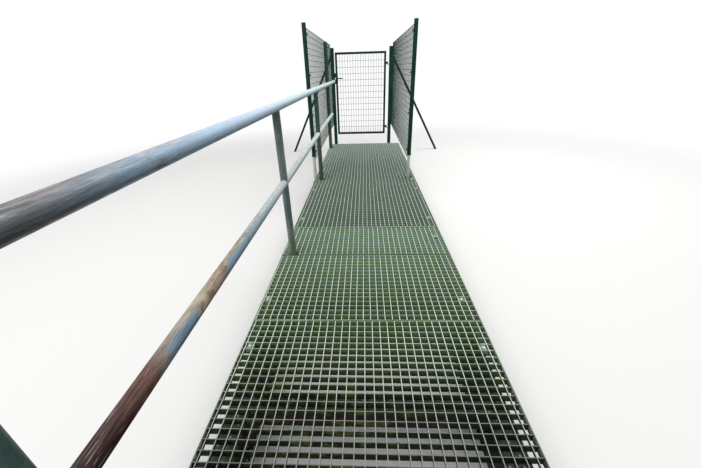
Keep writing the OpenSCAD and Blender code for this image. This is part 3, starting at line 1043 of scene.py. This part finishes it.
@dataclass(frozen=True)
class HardwareFinish(Finish):
    """Small metal parts: bolts, clips, welds and the lock, with rust in the corners."""

    base: Colour = (0.30, 0.31, 0.29)
    shade: Colour = (0.22, 0.23, 0.21)
    rust: Colour = (0.20, 0.07, 0.03)
    rust_level: float = 0.62

    def colour(self, on: Surface) -> NodeSocket:
        """Lays rust specks over mottled metal."""
        colour = on.blend(on.patches(scale=80.0, level=0.5, softness=0.15), self.base, self.shade)
        return on.blend(on.patches(scale=120.0, level=self.rust_level, softness=0.05), colour, self.rust)


class Dresser:
    """Gives pieces their finish and body, and counts them."""

    bearing = GratingFinish("Bearing bar zinc", roughness=0.7)
    filling = GratingFinish("Fill bar zinc", roughness=0.6, bump=0.2, tops=FILL_TOPS, wear=0.12)
    edging = GratingFinish("Edge flat zinc", roughness=0.65, faces=FLAT_FACES, lichen_share=0.6)
    beam = BeamFinish(
        "Old beam zinc", Slot.BEAM_STEEL, metallic=0.1, roughness=0.75, bump=0.5, gloss=0.2
    )
    # The middle post's head darkens from 0.80 up: painted shadow under the top rail
    zinc = ZincFinish("Post zinc", metallic=0.35, head=(0.38, 0.40, 0.34), head_from=0.80, head_to=1.05)
    shaded_zinc = ZincFinish(
        "Shaded post zinc",
        roughness=0.55,
        gloss=0.2,
        zinc=(0.040, 0.072, 0.055),
        light=(0.100, 0.150, 0.145),
        dark=(0.020, 0.038, 0.028),
        algae=(0.060, 0.095, 0.045),
        algae_height=0.6,
    )
    pale_zinc = ZincFinish(
        "Stub zinc",
        zinc=(0.50, 0.53, 0.46),
        light=(0.68, 0.70, 0.63),
        dark=(0.35, 0.38, 0.31),
        algae=(0.36, 0.42, 0.29),
    )
    top_rail = RailFinish("Worn top rail", metallic=0.2, roughness=0.42, gloss=0.3)
    mid_rail = RailFinish(
        "Rusty mid rail",
        metallic=0.15,
        roughness=0.6,
        gloss=0.1,
        bare=MID_RAIL_BARE,
        coat=MID_RAIL_COAT,
        loss=MID_RAIL_LOSS,
        outer_loss=0.35,
        worn=(0.26, 0.20, 0.17),
        worn_share=0.25,
        rubbed=0.68,
        pale=((-1.90, (0.56, 0.54, 0.44)), (-1.60, (0.62, 0.66, 0.70))),
    )
    green = GreenFinish("Green coat", Slot.GREEN_COAT, bump=0.08)
    wire = GreenFinish("Green wire", Slot.GREEN_WIRE, bump=0.05, chips=0.0)
    dark = HardwareFinish(
        "Lock metal",
        Slot.LOCK_METAL,
        metallic=0.4,
        roughness=0.45,
        base=(0.030, 0.045, 0.042),
        shade=(0.018, 0.025, 0.024),
        rust_level=0.74,
    )
    clip = HardwareFinish(
        "Clip plate zinc",
        Slot.GRATING,
        metallic=0.2,
        roughness=0.6,
        gloss=0.3,
        base=(0.30, 0.38, 0.32),
        shade=(0.15, 0.20, 0.16),
        rust_level=0.78,
    )
    bolt = HardwareFinish(
        "Bolt zinc",
        Slot.GRATING,
        metallic=0.3,
        base=(0.60, 0.68, 0.62),
        shade=(0.38, 0.44, 0.40),
        rust_level=0.8,
    )
    weld = HardwareFinish("Weld bead", Slot.BEAM_STEEL, metallic=0.4, roughness=0.65, bump=0.6)

    def __init__(self, nodes: Mapping[str, Object]) -> None:
        """Starts with no material and no piece.

        Args:
            nodes: The frame's solids by name.
        """
        self.nodes = nodes
        self.effects = Effects()
        self.made: dict[str, Material] = {}
        self.total = 0

    def paint(self, piece: Object, finish: Finish) -> Object:
        """Gives a piece one material, which is built the first time.

        Args:
            piece: The piece.
            finish: Its finish.

        Returns:
            The same piece.
        """
        if finish.name not in self.made:
            self.made[finish.name] = finish.material(self.effects)
        piece.data.materials.clear()
        piece.data.materials.append(self.made[finish.name])
        return piece

    def dress(
        self, piece: Object, finish: Finish, body: Body = Body.BRIDGE, nodes: Sequence[str] = ()
    ) -> Object:
        """Finishes a new piece, and keeps the finish of parts that are painted already.

        Args:
            piece: The piece.
            finish: Its finish.
            body: The body that it rides on.
            nodes: The solids that it stands for.

        Returns:
            The same piece.
        """
        smooth(piece)
        if not piece.data.materials:
            self.paint(piece, finish)
        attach(piece, body.value)
        if nodes:
            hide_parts(*nodes)
        self.total += 1
        LOG.info("%s: %d faces, %s", piece.name, len(piece.data.polygons), finish.name)
        return piece

    def repaint(self, finish: Finish, *nodes: str) -> None:
        """Gives solids that stay a better material."""
        for node in nodes:
            self.paint(self.nodes[node], finish)


# Sub-assemblies


@dataclass
class Assembly:
    """A part of the bridge, with the dresser that gives its pieces their finish."""

    dresser: Dresser


@dataclass
class GratingPanel(Assembly):
    """A panel of pressed grating: deep bars across the deck, shallow fill bars along it."""

    node: str
    number: int
    fill_pitch: float
    fill_shift: float
    holes: tuple[tuple[Point, Point], ...] = ()
    deck_near: float = -2.7365
    panel_pitch: float = 1.005
    panel_length: float = 1.0
    cells: int = 29
    bar: float = 0.003
    bar_bevel: float = 0.0003
    flat_bevel: float = 0.0005
    fill_depth: float = 0.012
    fill_margin: float = 0.008
    fill_gap: float = 0.0003

    def __post_init__(self) -> None:
        """Finds the panel's corners and near end, and its first and last fill bar from the middle."""
        self.low, self.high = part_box(self.node)
        self.start = self.deck_near + self.number * self.panel_pitch
        reach = self.high.x - self.fill_margin
        self.first = math.ceil((-reach - self.fill_shift) / self.fill_pitch)
        self.last = math.floor((reach - self.fill_shift) / self.fill_pitch)

    def fill_place(self, number: float) -> float:
        """Gives the place across the deck of a fill bar, or between two of them."""
        return number * self.fill_pitch + self.fill_shift

    def outer_cells(self) -> tuple[float, float, float]:
        """Gives the panel's near end and the middles of its first and last cell across."""
        return self.start, self.fill_place(self.first + 0.5), self.fill_place(self.last - 0.5)

    def notched(self, bars: Object) -> Object:
        """Cuts the holes around the posts out of bars."""
        return cut(bars, [block("hole", low, high) for low, high in self.holes])

    def bearing_bars(self) -> Object:
        """Makes the bars across the deck.

        Returns:
            The bars.
        """
        low, high, half = self.low, self.high, self.bar / 2
        pitch = (self.panel_length - self.bar) / self.cells
        first = math.ceil((low.y - self.start) / pitch - HAIR)
        last = math.floor((high.y - self.bar - self.start) / pitch + HAIR)
        y = self.start + first * pitch
        bar = block("bar", (low.x + half, y, low.z), (high.x - half, y + self.bar, high.z))
        break_top(bar, Axis.X, high.z, self.bar_bevel)
        return self.notched(repeat(bar, last - first + 1, (0, pitch, 0)))

    def fill_bars(self) -> Object:
        """Makes the bars along the deck.

        Returns:
            The bars.
        """
        x, half, gap = self.fill_place(self.first), self.bar / 2, self.fill_gap
        near, far, top = self.low.y + gap, self.high.y - gap, self.high.z - gap
        bar = block("fill", (x - half, near, top - self.fill_depth), (x + half, far, top))
        break_top(bar, Axis.Y, top, self.bar_bevel)
        return self.notched(repeat(bar, self.last - self.first + 1, (self.fill_pitch, 0, 0)))

    def edge_flats(self) -> Object:
        """Makes the flats that close the bars' ends.

        Returns:
            The flats.
        """
        low, high = self.low, self.high
        flat = block("flat", low, (low.x + self.bar, high.y, high.z))
        break_top(flat, Axis.Y, high.z, self.flat_bevel)
        return self.notched(repeat(flat, 2, (high.x - low.x - self.bar, 0, 0)))

    def build(self) -> None:
        """Builds and dresses the panel."""
        dresser = self.dresser
        parts = [
            dresser.paint(self.bearing_bars(), dresser.bearing),
            dresser.paint(self.fill_bars(), dresser.filling),
            dresser.paint(self.edge_flats(), dresser.edging),
        ]
        dresser.dress(join(f"{self.node}_bars", parts), dresser.bearing, nodes=(self.node,))


@dataclass
class SaddleClips(Assembly):
    """Clips that hold the grating down: a plate bent over two bars, with a bolt in its dip."""

    top: float
    cells: tuple[int, ...] = (4, 24)
    bar: float = 0.003
    bar_pitch: float = 0.0343793
    width: float = 0.024
    plate: float = 0.002
    cuts: int = 5
    dip: float = 0.009
    dip_share: float = 0.6
    lip: float = 0.018
    plate_bevel: float = 0.0004
    washer: float = 0.0012
    washer_share: float = 1.3
    head_radius: float = 0.0068
    head_height: float = 0.0055
    head_bevel: float = 0.0006

    def bent_plate(self, x: float, y: float) -> Object:
        """Bends the plate over the bars on both sides of a cell.

        Args:
            x: Its middle across the deck.
            y: Its middle along the deck.

        Returns:
            The plate.
        """
        half, top = self.width / 2, self.top
        bars = (self.bar_pitch + self.bar) / 2
        inside = (self.bar_pitch - self.bar) / 2 - self.plate
        plate = block("clip", (x - half, y - inside, top), (x + half, y + inside, top + self.plate))
        shape(plate, Element.EDGE, runs_along(Axis.Y), lambda: bpy.ops.mesh.subdivide(number_cuts=self.cuts))

        def off_middle(face: BMFace) -> float:
            """Gives how far a face's middle lies from the clip's."""
            return abs(face.calc_center_median().y - y)

        shape(
            plate,
            Element.FACE,
            lambda face: off_middle(face) < inside * self.dip_share and abs(face.normal.z) > ALIGNED,
            lambda: bpy.ops.transform.translate(value=(0, 0, -self.dip)),
        )
        for side in (-1, 1):
            extrude(plate, faces_to(Axis.Y, side), (0, side * (bars - inside), 0))
            extrude(plate, faces_to(Axis.Y, side), (0, side * self.plate, 0))
        down = faces_to(Axis.Z, -1)
        extrude(plate, lambda face: down(face) and off_middle(face) > bars, (0, 0, -self.lip))
        return soften(plate, self.plate_bevel, segments=1)

    def model(self, x: float, y: float) -> Object:
        """Models one clip.

        Args:
            x: Its middle across the deck.
            y: Its middle along the deck.

        Returns:
            The clip.
        """
        dresser, plate = self.dresser, self.bent_plate(x, y)
        floor = self.top - self.dip + self.plate
        seat = floor + self.washer
        washer = rod("washer", (x, y, floor), (x, y, seat), self.head_radius * self.washer_share, sides=20)
        head = rod("head", (x, y, seat), (x, y, seat + self.head_height), self.head_radius, sides=6)
        soften(head, self.head_bevel, segments=1, test=past(Axis.Z, seat + self.head_height / 2))
        for piece, finish in ((plate, dresser.clip), (washer, dresser.clip), (head, dresser.bolt)):
            dresser.paint(piece, finish)
        return join("clip", [plate, washer, head])

    def build(self, panels: Sequence[tuple[float, float, float]]) -> None:
        """Builds the clips of all panels as one piece.

        Args:
            panels: For each panel its near end and the middles of its first and last cell across.
        """
        places = []
        for near, left, right in panels:
            for cell in self.cells:
                y = near + self.bar / 2 + (cell + 0.5) * self.bar_pitch
                places += [(left, y), (right, y)]
        start_x, start_y = places[0]
        copies = [self.model(start_x, start_y)]
        for x, y in places[1:]:
            copies.append(copy_to(copies[0], "clip", (x - start_x, y - start_y, 0)))
        self.dresser.dress(join("grating_clips", copies), self.dresser.clip)


@dataclass
class Deck(Assembly):
    """The deck's panels, their clips and the steel under them."""

    top: float = 0.190
    under: float = 0.155
    gap: float = 0.008
    above: float = 0.005
    left_of_deck: float = -0.6
    fill_pitches: tuple[float, ...] = (0.03433, 0.03433, 0.0333, 0.0333, 0.0333)
    fill_shifts: tuple[float, ...] = (-0.005, -0.0115, -0.017, -0.014, -0.014)
    stub_out: float = 0.028
    stub_far: float = 0.059

    def hole(
        self, node: str, to_edge: bool = False, out: float = 0.0, far: float = 0.0
    ) -> tuple[Point, Point]:
        """Gives the hole around a post.

        Args:
            node: The post's node.
            to_edge: Whether the hole is open to the deck's left edge.
            out: Extra width on the right.
            far: Extra length on the far side.

        Returns:
            The hole's lowest and highest corner.
        """
        low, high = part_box(node)
        left = self.left_of_deck if to_edge else low.x - self.gap
        highest = (high.x + self.gap + out, high.y + self.gap + far, self.top + self.above)
        return (left, low.y - self.gap, self.under), highest

    def build(self) -> None:
        """Builds the deck."""
        dresser = self.dresser
        near, middle = self.hole("rail_post_near"), self.hole("rail_post_middle")
        far, tall = self.hole("rail_post_far", to_edge=True), self.hole("tall_post", to_edge=True)
        stub = self.hole("stub_right", out=self.stub_out, far=self.stub_far)
        panels = (
            ("grating_1", 0, (near,)),
            ("grating_2_near", 1, (middle,)),
            ("grating_2_far", 1, (middle,)),
            ("grating_3", 2, ()),
            ("grating_4", 3, (far, stub)),
            ("grating_5", 4, (tall,)),
        )
        cells = {}
        for node, number, holes in panels:
            spacing = (self.fill_pitches[number], self.fill_shifts[number])
            panel = GratingPanel(dresser, node, number, *spacing, holes)
            panel.build()
            cells[number] = panel.outer_cells()
        SaddleClips(dresser, self.top).build(list(cells.values()))
        dresser.repaint(dresser.beam, "main_beam_left", "main_beam_right", "crossbeams")
        dresser.repaint(dresser.beam, "outrigger_wing", "outrigger_tall_post")


@dataclass
class Handrail(Assembly):
    """Round posts and rails on the left, with weld beads around the posts' feet."""

    sides: int = 48
    cap_steps: int = 3
    rail_cap: float = 0.004
    post_cap: float = 0.003
    bead: float = 0.0035
    bead_lift: float = 0.6
    bead_gap: float = 0.001

    def tube(self, node: str, finish: Finish, axis: Axis) -> Object:
        """Makes a smooth round tube in place of a solid.

        Args:
            node: The solid's node.
            finish: The tube's finish.
            axis: The axis that it runs along.

        Returns:
            The tube.
        """
        low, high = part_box(node)
        middle = (low + high) / 2
        start, end = middle.copy(), middle.copy()
        start[axis], end[axis] = low[axis], high[axis]
        radius = min(high[other] - low[other] for other in Axis if other != axis) / 2
        piece = rod(f"{node}_tube", start, end, radius, self.sides)
        return self.dresser.dress(piece, finish, nodes=(node,))

    def foot_bead(self, node: str) -> Object:
        """Makes the weld bead around a post's foot.

        Args:
            node: The post's node.

        Returns:
            The bead.
        """
        low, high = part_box(node)
        foot = ((low.x + high.x) / 2, (low.y + high.y) / 2, low.z + self.bead * self.bead_lift)
        return ring("foot_bead", foot, (high.x - low.x) / 2 + self.bead_gap, self.bead)

    def build(self) -> None:
        """Builds the handrail."""
        dresser = self.dresser
        rail = self.tube("top_rail", dresser.top_rail, Axis.Y)
        near_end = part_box("top_rail")[0].y
        soften(rail, self.rail_cap, self.cap_steps, past(Axis.Y, near_end + CLOSE, -1))
        smooth(rail)
        for part in ("near", "middle", "far"):
            self.tube(f"mid_rail_{part}", dresser.mid_rail, Axis.Y)
            zinc = dresser.zinc if part == "middle" else dresser.shaded_zinc
            self.tube(f"rail_post_{part}", zinc, Axis.Z)
        tall = self.tube("tall_post", dresser.shaded_zinc, Axis.Z)
        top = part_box("tall_post")[1].z
        soften(tall, self.post_cap, self.cap_steps, past(Axis.Z, top - CLOSE))
        smooth(tall)
        posts = ("rail_post_near", "rail_post_middle", "rail_post_far", "tall_post")
        dresser.dress(join("post_foot_welds", [self.foot_bead(post) for post in posts]), dresser.weld)


@dataclass
class BoxPost(Assembly):
    """A square tube with rounded corners and a cap plate."""

    node: str
    finish: Finish
    radius: float = 0.005
    cap: float = 0.002
    body: Body = Body.BRIDGE
    axis: Axis = Axis.Z

    def build(self) -> None:
        """Builds and dresses the tube."""
        low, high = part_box(self.node)
        tube = block(f"{self.node}_tube", low, high)
        soften(tube, self.radius, segments=3, test=runs_along(self.axis))
        if self.cap:
            soften(tube, self.cap, test=past(Axis.Z, high.z - CLOSE))
        self.dresser.dress(tube, self.finish, self.body, (self.node,))


@dataclass
class WireSheet(Assembly):
    """Welded mesh of round wires in an upright plane."""

    node: str
    body: Body = Body.BRIDGE
    wire: float = 0.004
    sides: int = 8

    def wires(self, start: Point, end: Point, count: int, step: Point) -> Object:
        """Makes a row of like wires, the first one from start to end."""
        return repeat(rod("wire", start, end, self.wire / 2, self.sides), count, step)

    def weld(self, level: Object, upright: Object) -> None:
        """Joins the level and the upright wires and dresses the sheet."""
        sheet = join(f"{self.node}_wires", [level, upright])
        self.dresser.dress(sheet, self.dresser.wire, self.body, (self.node,))


@dataclass
class WingSheet(WireSheet):
    """The mesh of a wing fence, level wires on the post's side and upright ones inside."""

    inward: int = 1
    cell: float = 0.050

    def build(self) -> None:
        """Builds and dresses the sheet."""
        low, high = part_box(self.node)
        half = self.wire / 2
        level_x, upright_x = (low.x + half, high.x - half)[:: self.inward]
        rows = round((high.z - low.z) / self.cell)
        rise = (high.z - low.z - self.wire) / rows
        columns = round((high.y - low.y - self.wire) / self.cell)
        run = (high.y - low.y - self.wire) / columns
        z, y = low.z + half, low.y + half
        level = self.wires((level_x, low.y, z), (level_x, high.y, z), rows + 1, (0, 0, rise))
        upright = self.wires((upright_x, y, low.z), (upright_x, y, high.z), columns + 1, (0, run, 0))
        self.weld(level, upright)


@dataclass
class LeafSheet(WireSheet):
    """The mesh in the gate leaf's frame."""

    columns: int = 18
    rows: int = 13

    def build(self) -> None:
        """Builds and dresses the sheet."""
        low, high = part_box(self.node)
        run = (high.x - low.x) / self.columns
        rise = (high.z - low.z) / self.rows
        x, z = low.x + run, low.z + rise
        near, far = low.y + self.wire / 2, high.y - self.wire / 2
        level = self.wires((low.x, near, z), (high.x, near, z), self.rows - 1, (0, 0, rise))
        upright = self.wires((x, far, low.z), (x, far, high.z), self.columns - 1, (run, 0, 0))
        self.weld(level, upright)


@dataclass
class WingFences(Assembly):
    """Both wing fences: pale stubs, green posts, mesh, collars and mesh clips."""

    stub_radius: float = 0.003
    clip_heights: tuple[float, ...] = (0.50, 0.85, 1.20, 1.53)
    clip_size: Point = (0.003, 0.030, 0.024)
    clip_bevel: float = 0.0008
    screw_radius: float = 0.006
    screw_height: float = 0.004
    screw_bevel: float = 0.0005
    collar: float = 0.003
    collar_height: float = 0.014
    collar_corner: float = 0.006
    collar_bevel: float = 0.0015

    def collar_round(self, node: str) -> None:
        """Makes the collar at a wing post's foot.

        Args:
            node: The post's node.
        """
        low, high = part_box(node)
        wide = Vector((self.collar, self.collar, 0))
        top = Vector((high.x, high.y, low.z + self.collar_height))
        piece = block(f"{node}_collar", low - wide, top + wide)
        soften(piece, self.collar_corner, segments=3, test=runs_along(Axis.Z))
        soften(piece, self.collar_bevel)
        self.dresser.dress(piece, self.dresser.green)

    def mesh_clips(self, x: float, y: float, side: int, name: str) -> None:
        """Makes the clips that hold the mesh to a post.

        Args:
            x: The mesh's inner face.
            y: The post's middle.
            side: 1 where the clips look towards +X, and -1 towards -X.
            name: The piece's name.
        """
        thick, wide, tall = self.clip_size
        z = self.clip_heights[0]
        outer = x + side * thick
        start, end = sorted((x, outer))
        plate = block("clip", (start, y - wide / 2, z - tall / 2), (end, y + wide / 2, z + tall / 2))
        soften(plate, self.clip_bevel)
        end_x = outer + side * self.screw_height
        head = rod("screw", (outer, y, z), (end_x, y, z), self.screw_radius, sides=6)
        soften(head, self.screw_bevel, segments=1)
        copies = [join("clip", [plate, head])]
        for height in self.clip_heights[1:]:
            copies.append(copy_to(copies[0], "clip", (0, 0, height - z)))
        self.dresser.dress(join(name, copies), self.dresser.dark)

    def build(self) -> None:
        """Builds the wing fences."""
        dresser = self.dresser
        for side in ("left", "right"):
            BoxPost(dresser, f"stub_{side}", dresser.pale_zinc, self.stub_radius, cap=0.0).build()
            BoxPost(dresser, f"wing_post_{side}", dresser.green).build()
            self.collar_round(f"wing_post_{side}")
        for side, inward in (("right", -1), ("left", 1), ("left_end", 1)):
            WingSheet(dresser, f"wing_mesh_{side}", inward=inward).build()
        low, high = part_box("wing_post_right")
        y = (low.y + high.y) / 2
        self.mesh_clips(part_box("wing_mesh_right")[0].x, y, -1, "mesh_clips_right")
        self.mesh_clips(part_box("wing_mesh_left")[1].x, y, 1, "mesh_clips_left")


@dataclass
class Gateway(Assembly):
    """The gate's fixed side: posts, struts, hinge pins and keeper."""

    cap: float = 0.003

    def build(self) -> None:
        """Builds the fixed side."""
        dresser = self.dresser
        for side in ("left", "right"):
            BoxPost(dresser, f"gate_post_{side}", dresser.green, cap=self.cap).build()
        dresser.repaint(dresser.green, "strut_left", "strut_right", "gate_keeper")
        dresser.repaint(dresser.dark, "hinge_pin_upper", "hinge_pin_lower")


@dataclass
class GateLeaf(Assembly):
    """The swinging leaf: tube frame, mesh, hinge straps and lock covers."""

    corner: float = 0.003
    stile_cap: float = 0.001
    cover_flat: float = 0.0003
    cover_edge: float = 0.0012
    fine_bevel: float = 0.0006
    screw_radius: float = 0.004
    screw_out: float = 0.0018
    screw_inset: float = 0.014
    key_radius: float = 0.0085
    key_out: float = 0.003
    key_drop: float = 0.042
    tail_half: float = 0.005
    tail_top: float = 0.046
    tail_foot: float = 0.064
    tail_bevel: float = 0.0008

    def fittings(self, x: float, face: float, out: int) -> list[Object]:
        """Makes the screws and the key cylinder on one cover.

        Args:
            x: The lock's middle across the leaf.
            face: The cover's outer face.
            out: The way out of that face along Y, 1 or -1.

        Returns:
            The pieces.
        """
        low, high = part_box("lock_covers")
        z = (low.z + high.z) / 2
        parts = []
        for height in (low.z + self.screw_inset, high.z - self.screw_inset):
            end = (x, face + out * self.screw_out, height)
            head = rod("screw", (x, face, height), end, self.screw_radius)
            parts.append(soften(head, self.fine_bevel, segments=1))
        front, key = face + out * self.key_out, z - self.key_drop
        barrel = rod("cylinder", (x, face, key), (x, front, key), self.key_radius, sides=24)
        parts.append(soften(barrel, self.fine_bevel, segments=1))
        near, far = sorted((face, front))
        lowest = (x - self.tail_half, near, z - self.tail_foot)
        tail = block("cylinder", lowest, (x + self.tail_half, far, z - self.tail_top))
        return parts + [soften(tail, self.tail_bevel, segments=1)]

    def lock_plates(self) -> None:
        """Makes the lock's covers with their screws and key cylinders."""
        low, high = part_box("lock_covers")
        stile_low, stile_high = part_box("leaf_lock_stile")
        parts = []
        for near, far, out in ((low.y, stile_low.y, -1), (stile_high.y, high.y, 1)):
            plate = block("cover", (low.x, near, low.z), (high.x, far, high.z))
            radius = (high.x - low.x) / 2 - self.cover_flat
            soften(plate, radius, segments=8, test=runs_along(Axis.Y))
            face = near if out < 0 else far
            soften(plate, self.cover_edge, test=past(Axis.Y, face - out * HAIR, out))
            parts += [plate, *self.fittings((low.x + high.x) / 2, face, out)]
        covers = join("lock_plates", parts)
        self.dresser.dress(covers, self.dresser.dark, Body.GATE_LEAF, ("lock_covers",))

    def build(self) -> None:
        """Builds the leaf."""
        dresser, green, body = self.dresser, self.dresser.green, Body.GATE_LEAF
        for side in ("hinge", "lock"):
            BoxPost(dresser, f"leaf_{side}_stile", green, self.corner, self.stile_cap, body).build()
        for side in ("top", "bottom"):
            BoxPost(dresser, f"leaf_{side}_bar", green, self.corner, 0.0, body, Axis.X).build()
        LeafSheet(dresser, "leaf_mesh", body).build()
        self.lock_plates()
        dresser.repaint(dresser.dark, "hinge_strap_upper", "hinge_strap_lower")


@dataclass
class Lever(Assembly):
    """The lock's lever: a spindle, and on each side a rose, a neck and a level grip."""

    rose: float = 0.013
    rose_from: float = 0.001
    rose_to: float = 0.0055
    rose_bevel: float = 0.0012
    spindle: float = 0.005
    neck: float = 0.0065
    neck_from: float = 0.003
    grip: float = 0.007
    inset: float = 0.008
    overlap: float = 0.006
    taper: float = 0.8
    tip_bevel: float = 0.003
    sides: int = 24

    def handle(self, start: Point, tip: float) -> Object:
        """Makes a level grip that tapers to a rounded tip.

        Args:
            start: The middle of its inner end.
            tip: How far it reaches along X.

        Returns:
            The grip.
        """
        handle = rod("handle", start, (tip, *start[1:]), self.grip, self.sides)
        size = (1, self.taper, self.taper)
        shape(handle, Element.FACE, faces_to(Axis.X, 1), lambda: bpy.ops.transform.resize(value=size))
        soften(handle, self.tip_bevel, segments=3, test=past(Axis.X, tip - HAIR))
        return soften(handle, self.tip_bevel, segments=3, test=past(Axis.X, start[0] + CLOSE, -1))

    def build(self) -> None:
        """Builds and dresses the lever."""
        low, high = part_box("lock_lever")
        cover_low, cover_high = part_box("lock_covers")
        x, z = low.x + self.inset, (low.z + high.z) / 2
        near, far = low.y + self.inset, high.y - self.inset
        parts = [rod("spindle", (x, near, z), (x, far, z), self.spindle, self.sides)]
        for y, face, out in ((near, cover_low.y, -1), (far, cover_high.y, 1)):
            root, front = (x, face + out * self.rose_from, z), (x, face + out * self.rose_to, z)
            parts.append(soften(rod("rose", root, front, self.rose, sides=32), self.rose_bevel))
            root = (x, face + out * self.neck_from, z)
            parts.append(rod("neck", root, (x, y, z), self.neck, self.sides))
            parts.append(self.handle((x - self.overlap, y, z), high.x))
        handles = join("lever_handles", parts)
        self.dresser.dress(handles, self.dresser.dark, Body.LEVER, ("lock_lever",))


# Studio


@dataclass(frozen=True)
class PhotoCamera:
    """The photograph's point of view, from its measured angles in degrees."""

    eye: Point = (0.0, -2.8913, 1.2411)
    pitch: float = 27.17
    yaw: float = -2.93
    roll: float = 1.77
    focal_pixels: float = 321.2
    picture_width: float = 701.0
    sensor: float = 36.0
    clip_start: float = 0.02

    def build(self) -> None:
        """Adds the camera and makes it the scene's."""
        pitch, yaw, roll = (math.radians(angle) for angle in (self.pitch, self.yaw, self.roll))
        ahead = Vector((math.sin(yaw) * math.cos(pitch), math.cos(yaw) * math.cos(pitch), -math.sin(pitch)))
        level = Vector((math.cos(yaw), -math.sin(yaw), 0.0))
        down = ahead.cross(level)
        right = level * math.cos(roll) + down * math.sin(roll)
        up = level * math.sin(roll) - down * math.cos(roll)
        data = bpy.data.cameras.new("Camera")
        data.sensor_width = self.sensor
        data.lens = self.focal_pixels * self.sensor / self.picture_width
        data.clip_start = self.clip_start
        camera = bpy.data.objects.new("Camera", data)
        turn = Matrix((right, up, -ahead)).transposed()
        camera.matrix_world = Matrix.Translation(self.eye) @ turn.to_4x4()
        bpy.context.scene.collection.objects.link(camera)
        bpy.context.scene.camera = camera


@dataclass(frozen=True)
class Studio:
    """A pale floor, a white surround and soft lamps from above: place, width and power of each."""

    floor_colour: Colour = (0.78, 0.78, 0.77)
    floor_size: float = 120.0
    sky: float = 0.55
    white_from: float = 3.0
    white_to: float = 6.0
    lamps: tuple[tuple[Point, float, float], ...] = (
        ((-2.5, -3.0, 5.0), 4.0, 150.0),
        ((2.5, 1.5, 5.5), 5.0, 260.0),
    )

    def tree_of(self, owner: Material | World) -> Bench:
        """Gives a material or a world an empty tree to lay."""
        owner.use_nodes = True
        return Bench(owner.node_tree)

    def floor(self) -> None:
        """Adds the floor, which turns plain white far from the bridge."""
        clear_selection()
        bpy.ops.mesh.primitive_plane_add(size=self.floor_size)
        floor = settle("floor")
        made = bpy.data.materials.new("Pale floor")
        bench = self.tree_of(made)
        spot = bench.add("ShaderNodeTexCoord").outputs["Object"]
        far = bench.fade(bench.vector_math("LENGTH", spot)["Value"], self.white_from, self.white_to)
        seen = bench.add("ShaderNodeLightPath").outputs["Is Camera Ray"]
        lit = bench.add("ShaderNodeBsdfDiffuse", {"Color": self.floor_colour}).outputs[0]
        white = bench.add("ShaderNodeEmission", {"Color": WHITE, "Strength": 1.0}).outputs[0]
        shown = bench.add("ShaderNodeMixShader", {0: bench.times(far, seen), 1: lit, 2: white})
        bench.add("ShaderNodeOutputMaterial", {"Surface": shown.outputs[0]})
        floor.data.materials.append(made)

    def surround(self) -> None:
        """Sets the world: soft light, and white where it is seen or mirrored."""
        world = bpy.data.worlds.new("Surround")
        bpy.context.scene.world = world
        bench = self.tree_of(world)
        path = bench.add("ShaderNodeLightPath").outputs
        direct = bench.math("MAXIMUM", path["Is Camera Ray"], path["Is Glossy Ray"])
        direct = bench.math("MAXIMUM", direct, path["Is Transmission Ray"])
        inputs = {"Color": WHITE, "Strength": bench.scale(direct, self.sky, 1.0)}
        back = bench.add("ShaderNodeBackground", inputs)
        bench.add("ShaderNodeOutputWorld", {"Surface": back.outputs[0]})

    def light(self) -> None:
        """Adds the soft lamps, each turned towards the middle of the bridge."""
        for number, (place, size, power) in enumerate(self.lamps):
            data = bpy.data.lights.new(f"Lamp_{number}", "AREA")
            data.energy = power
            data.size = size
            lamp = bpy.data.objects.new(f"Lamp_{number}", data)
            lamp.location = place
            lamp.rotation_euler = (-Vector(place)).to_track_quat("-Z", "Y").to_euler()
            bpy.context.scene.collection.objects.link(lamp)

    def build(self) -> None:
        """Adds floor, surround and lamps, and sets the plain view."""
        self.floor()
        self.surround()
        self.light()
        bpy.context.scene.view_settings.view_transform = "Standard"


def main() -> None:
    """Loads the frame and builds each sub-assembly in order."""
    logging.basicConfig(level=logging.INFO, format="%(name)s: %(message)s")
    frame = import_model()
    PhotoCamera().build()
    Studio().build()
    dresser = Dresser(frame["nodes"])
    for assembly in (Deck, Handrail, WingFences, Gateway, GateLeaf, Lever):
        assembly(dresser).build()
    LOG.info("%d pieces made", dresser.total)


if __name__ == "__main__":
    main()
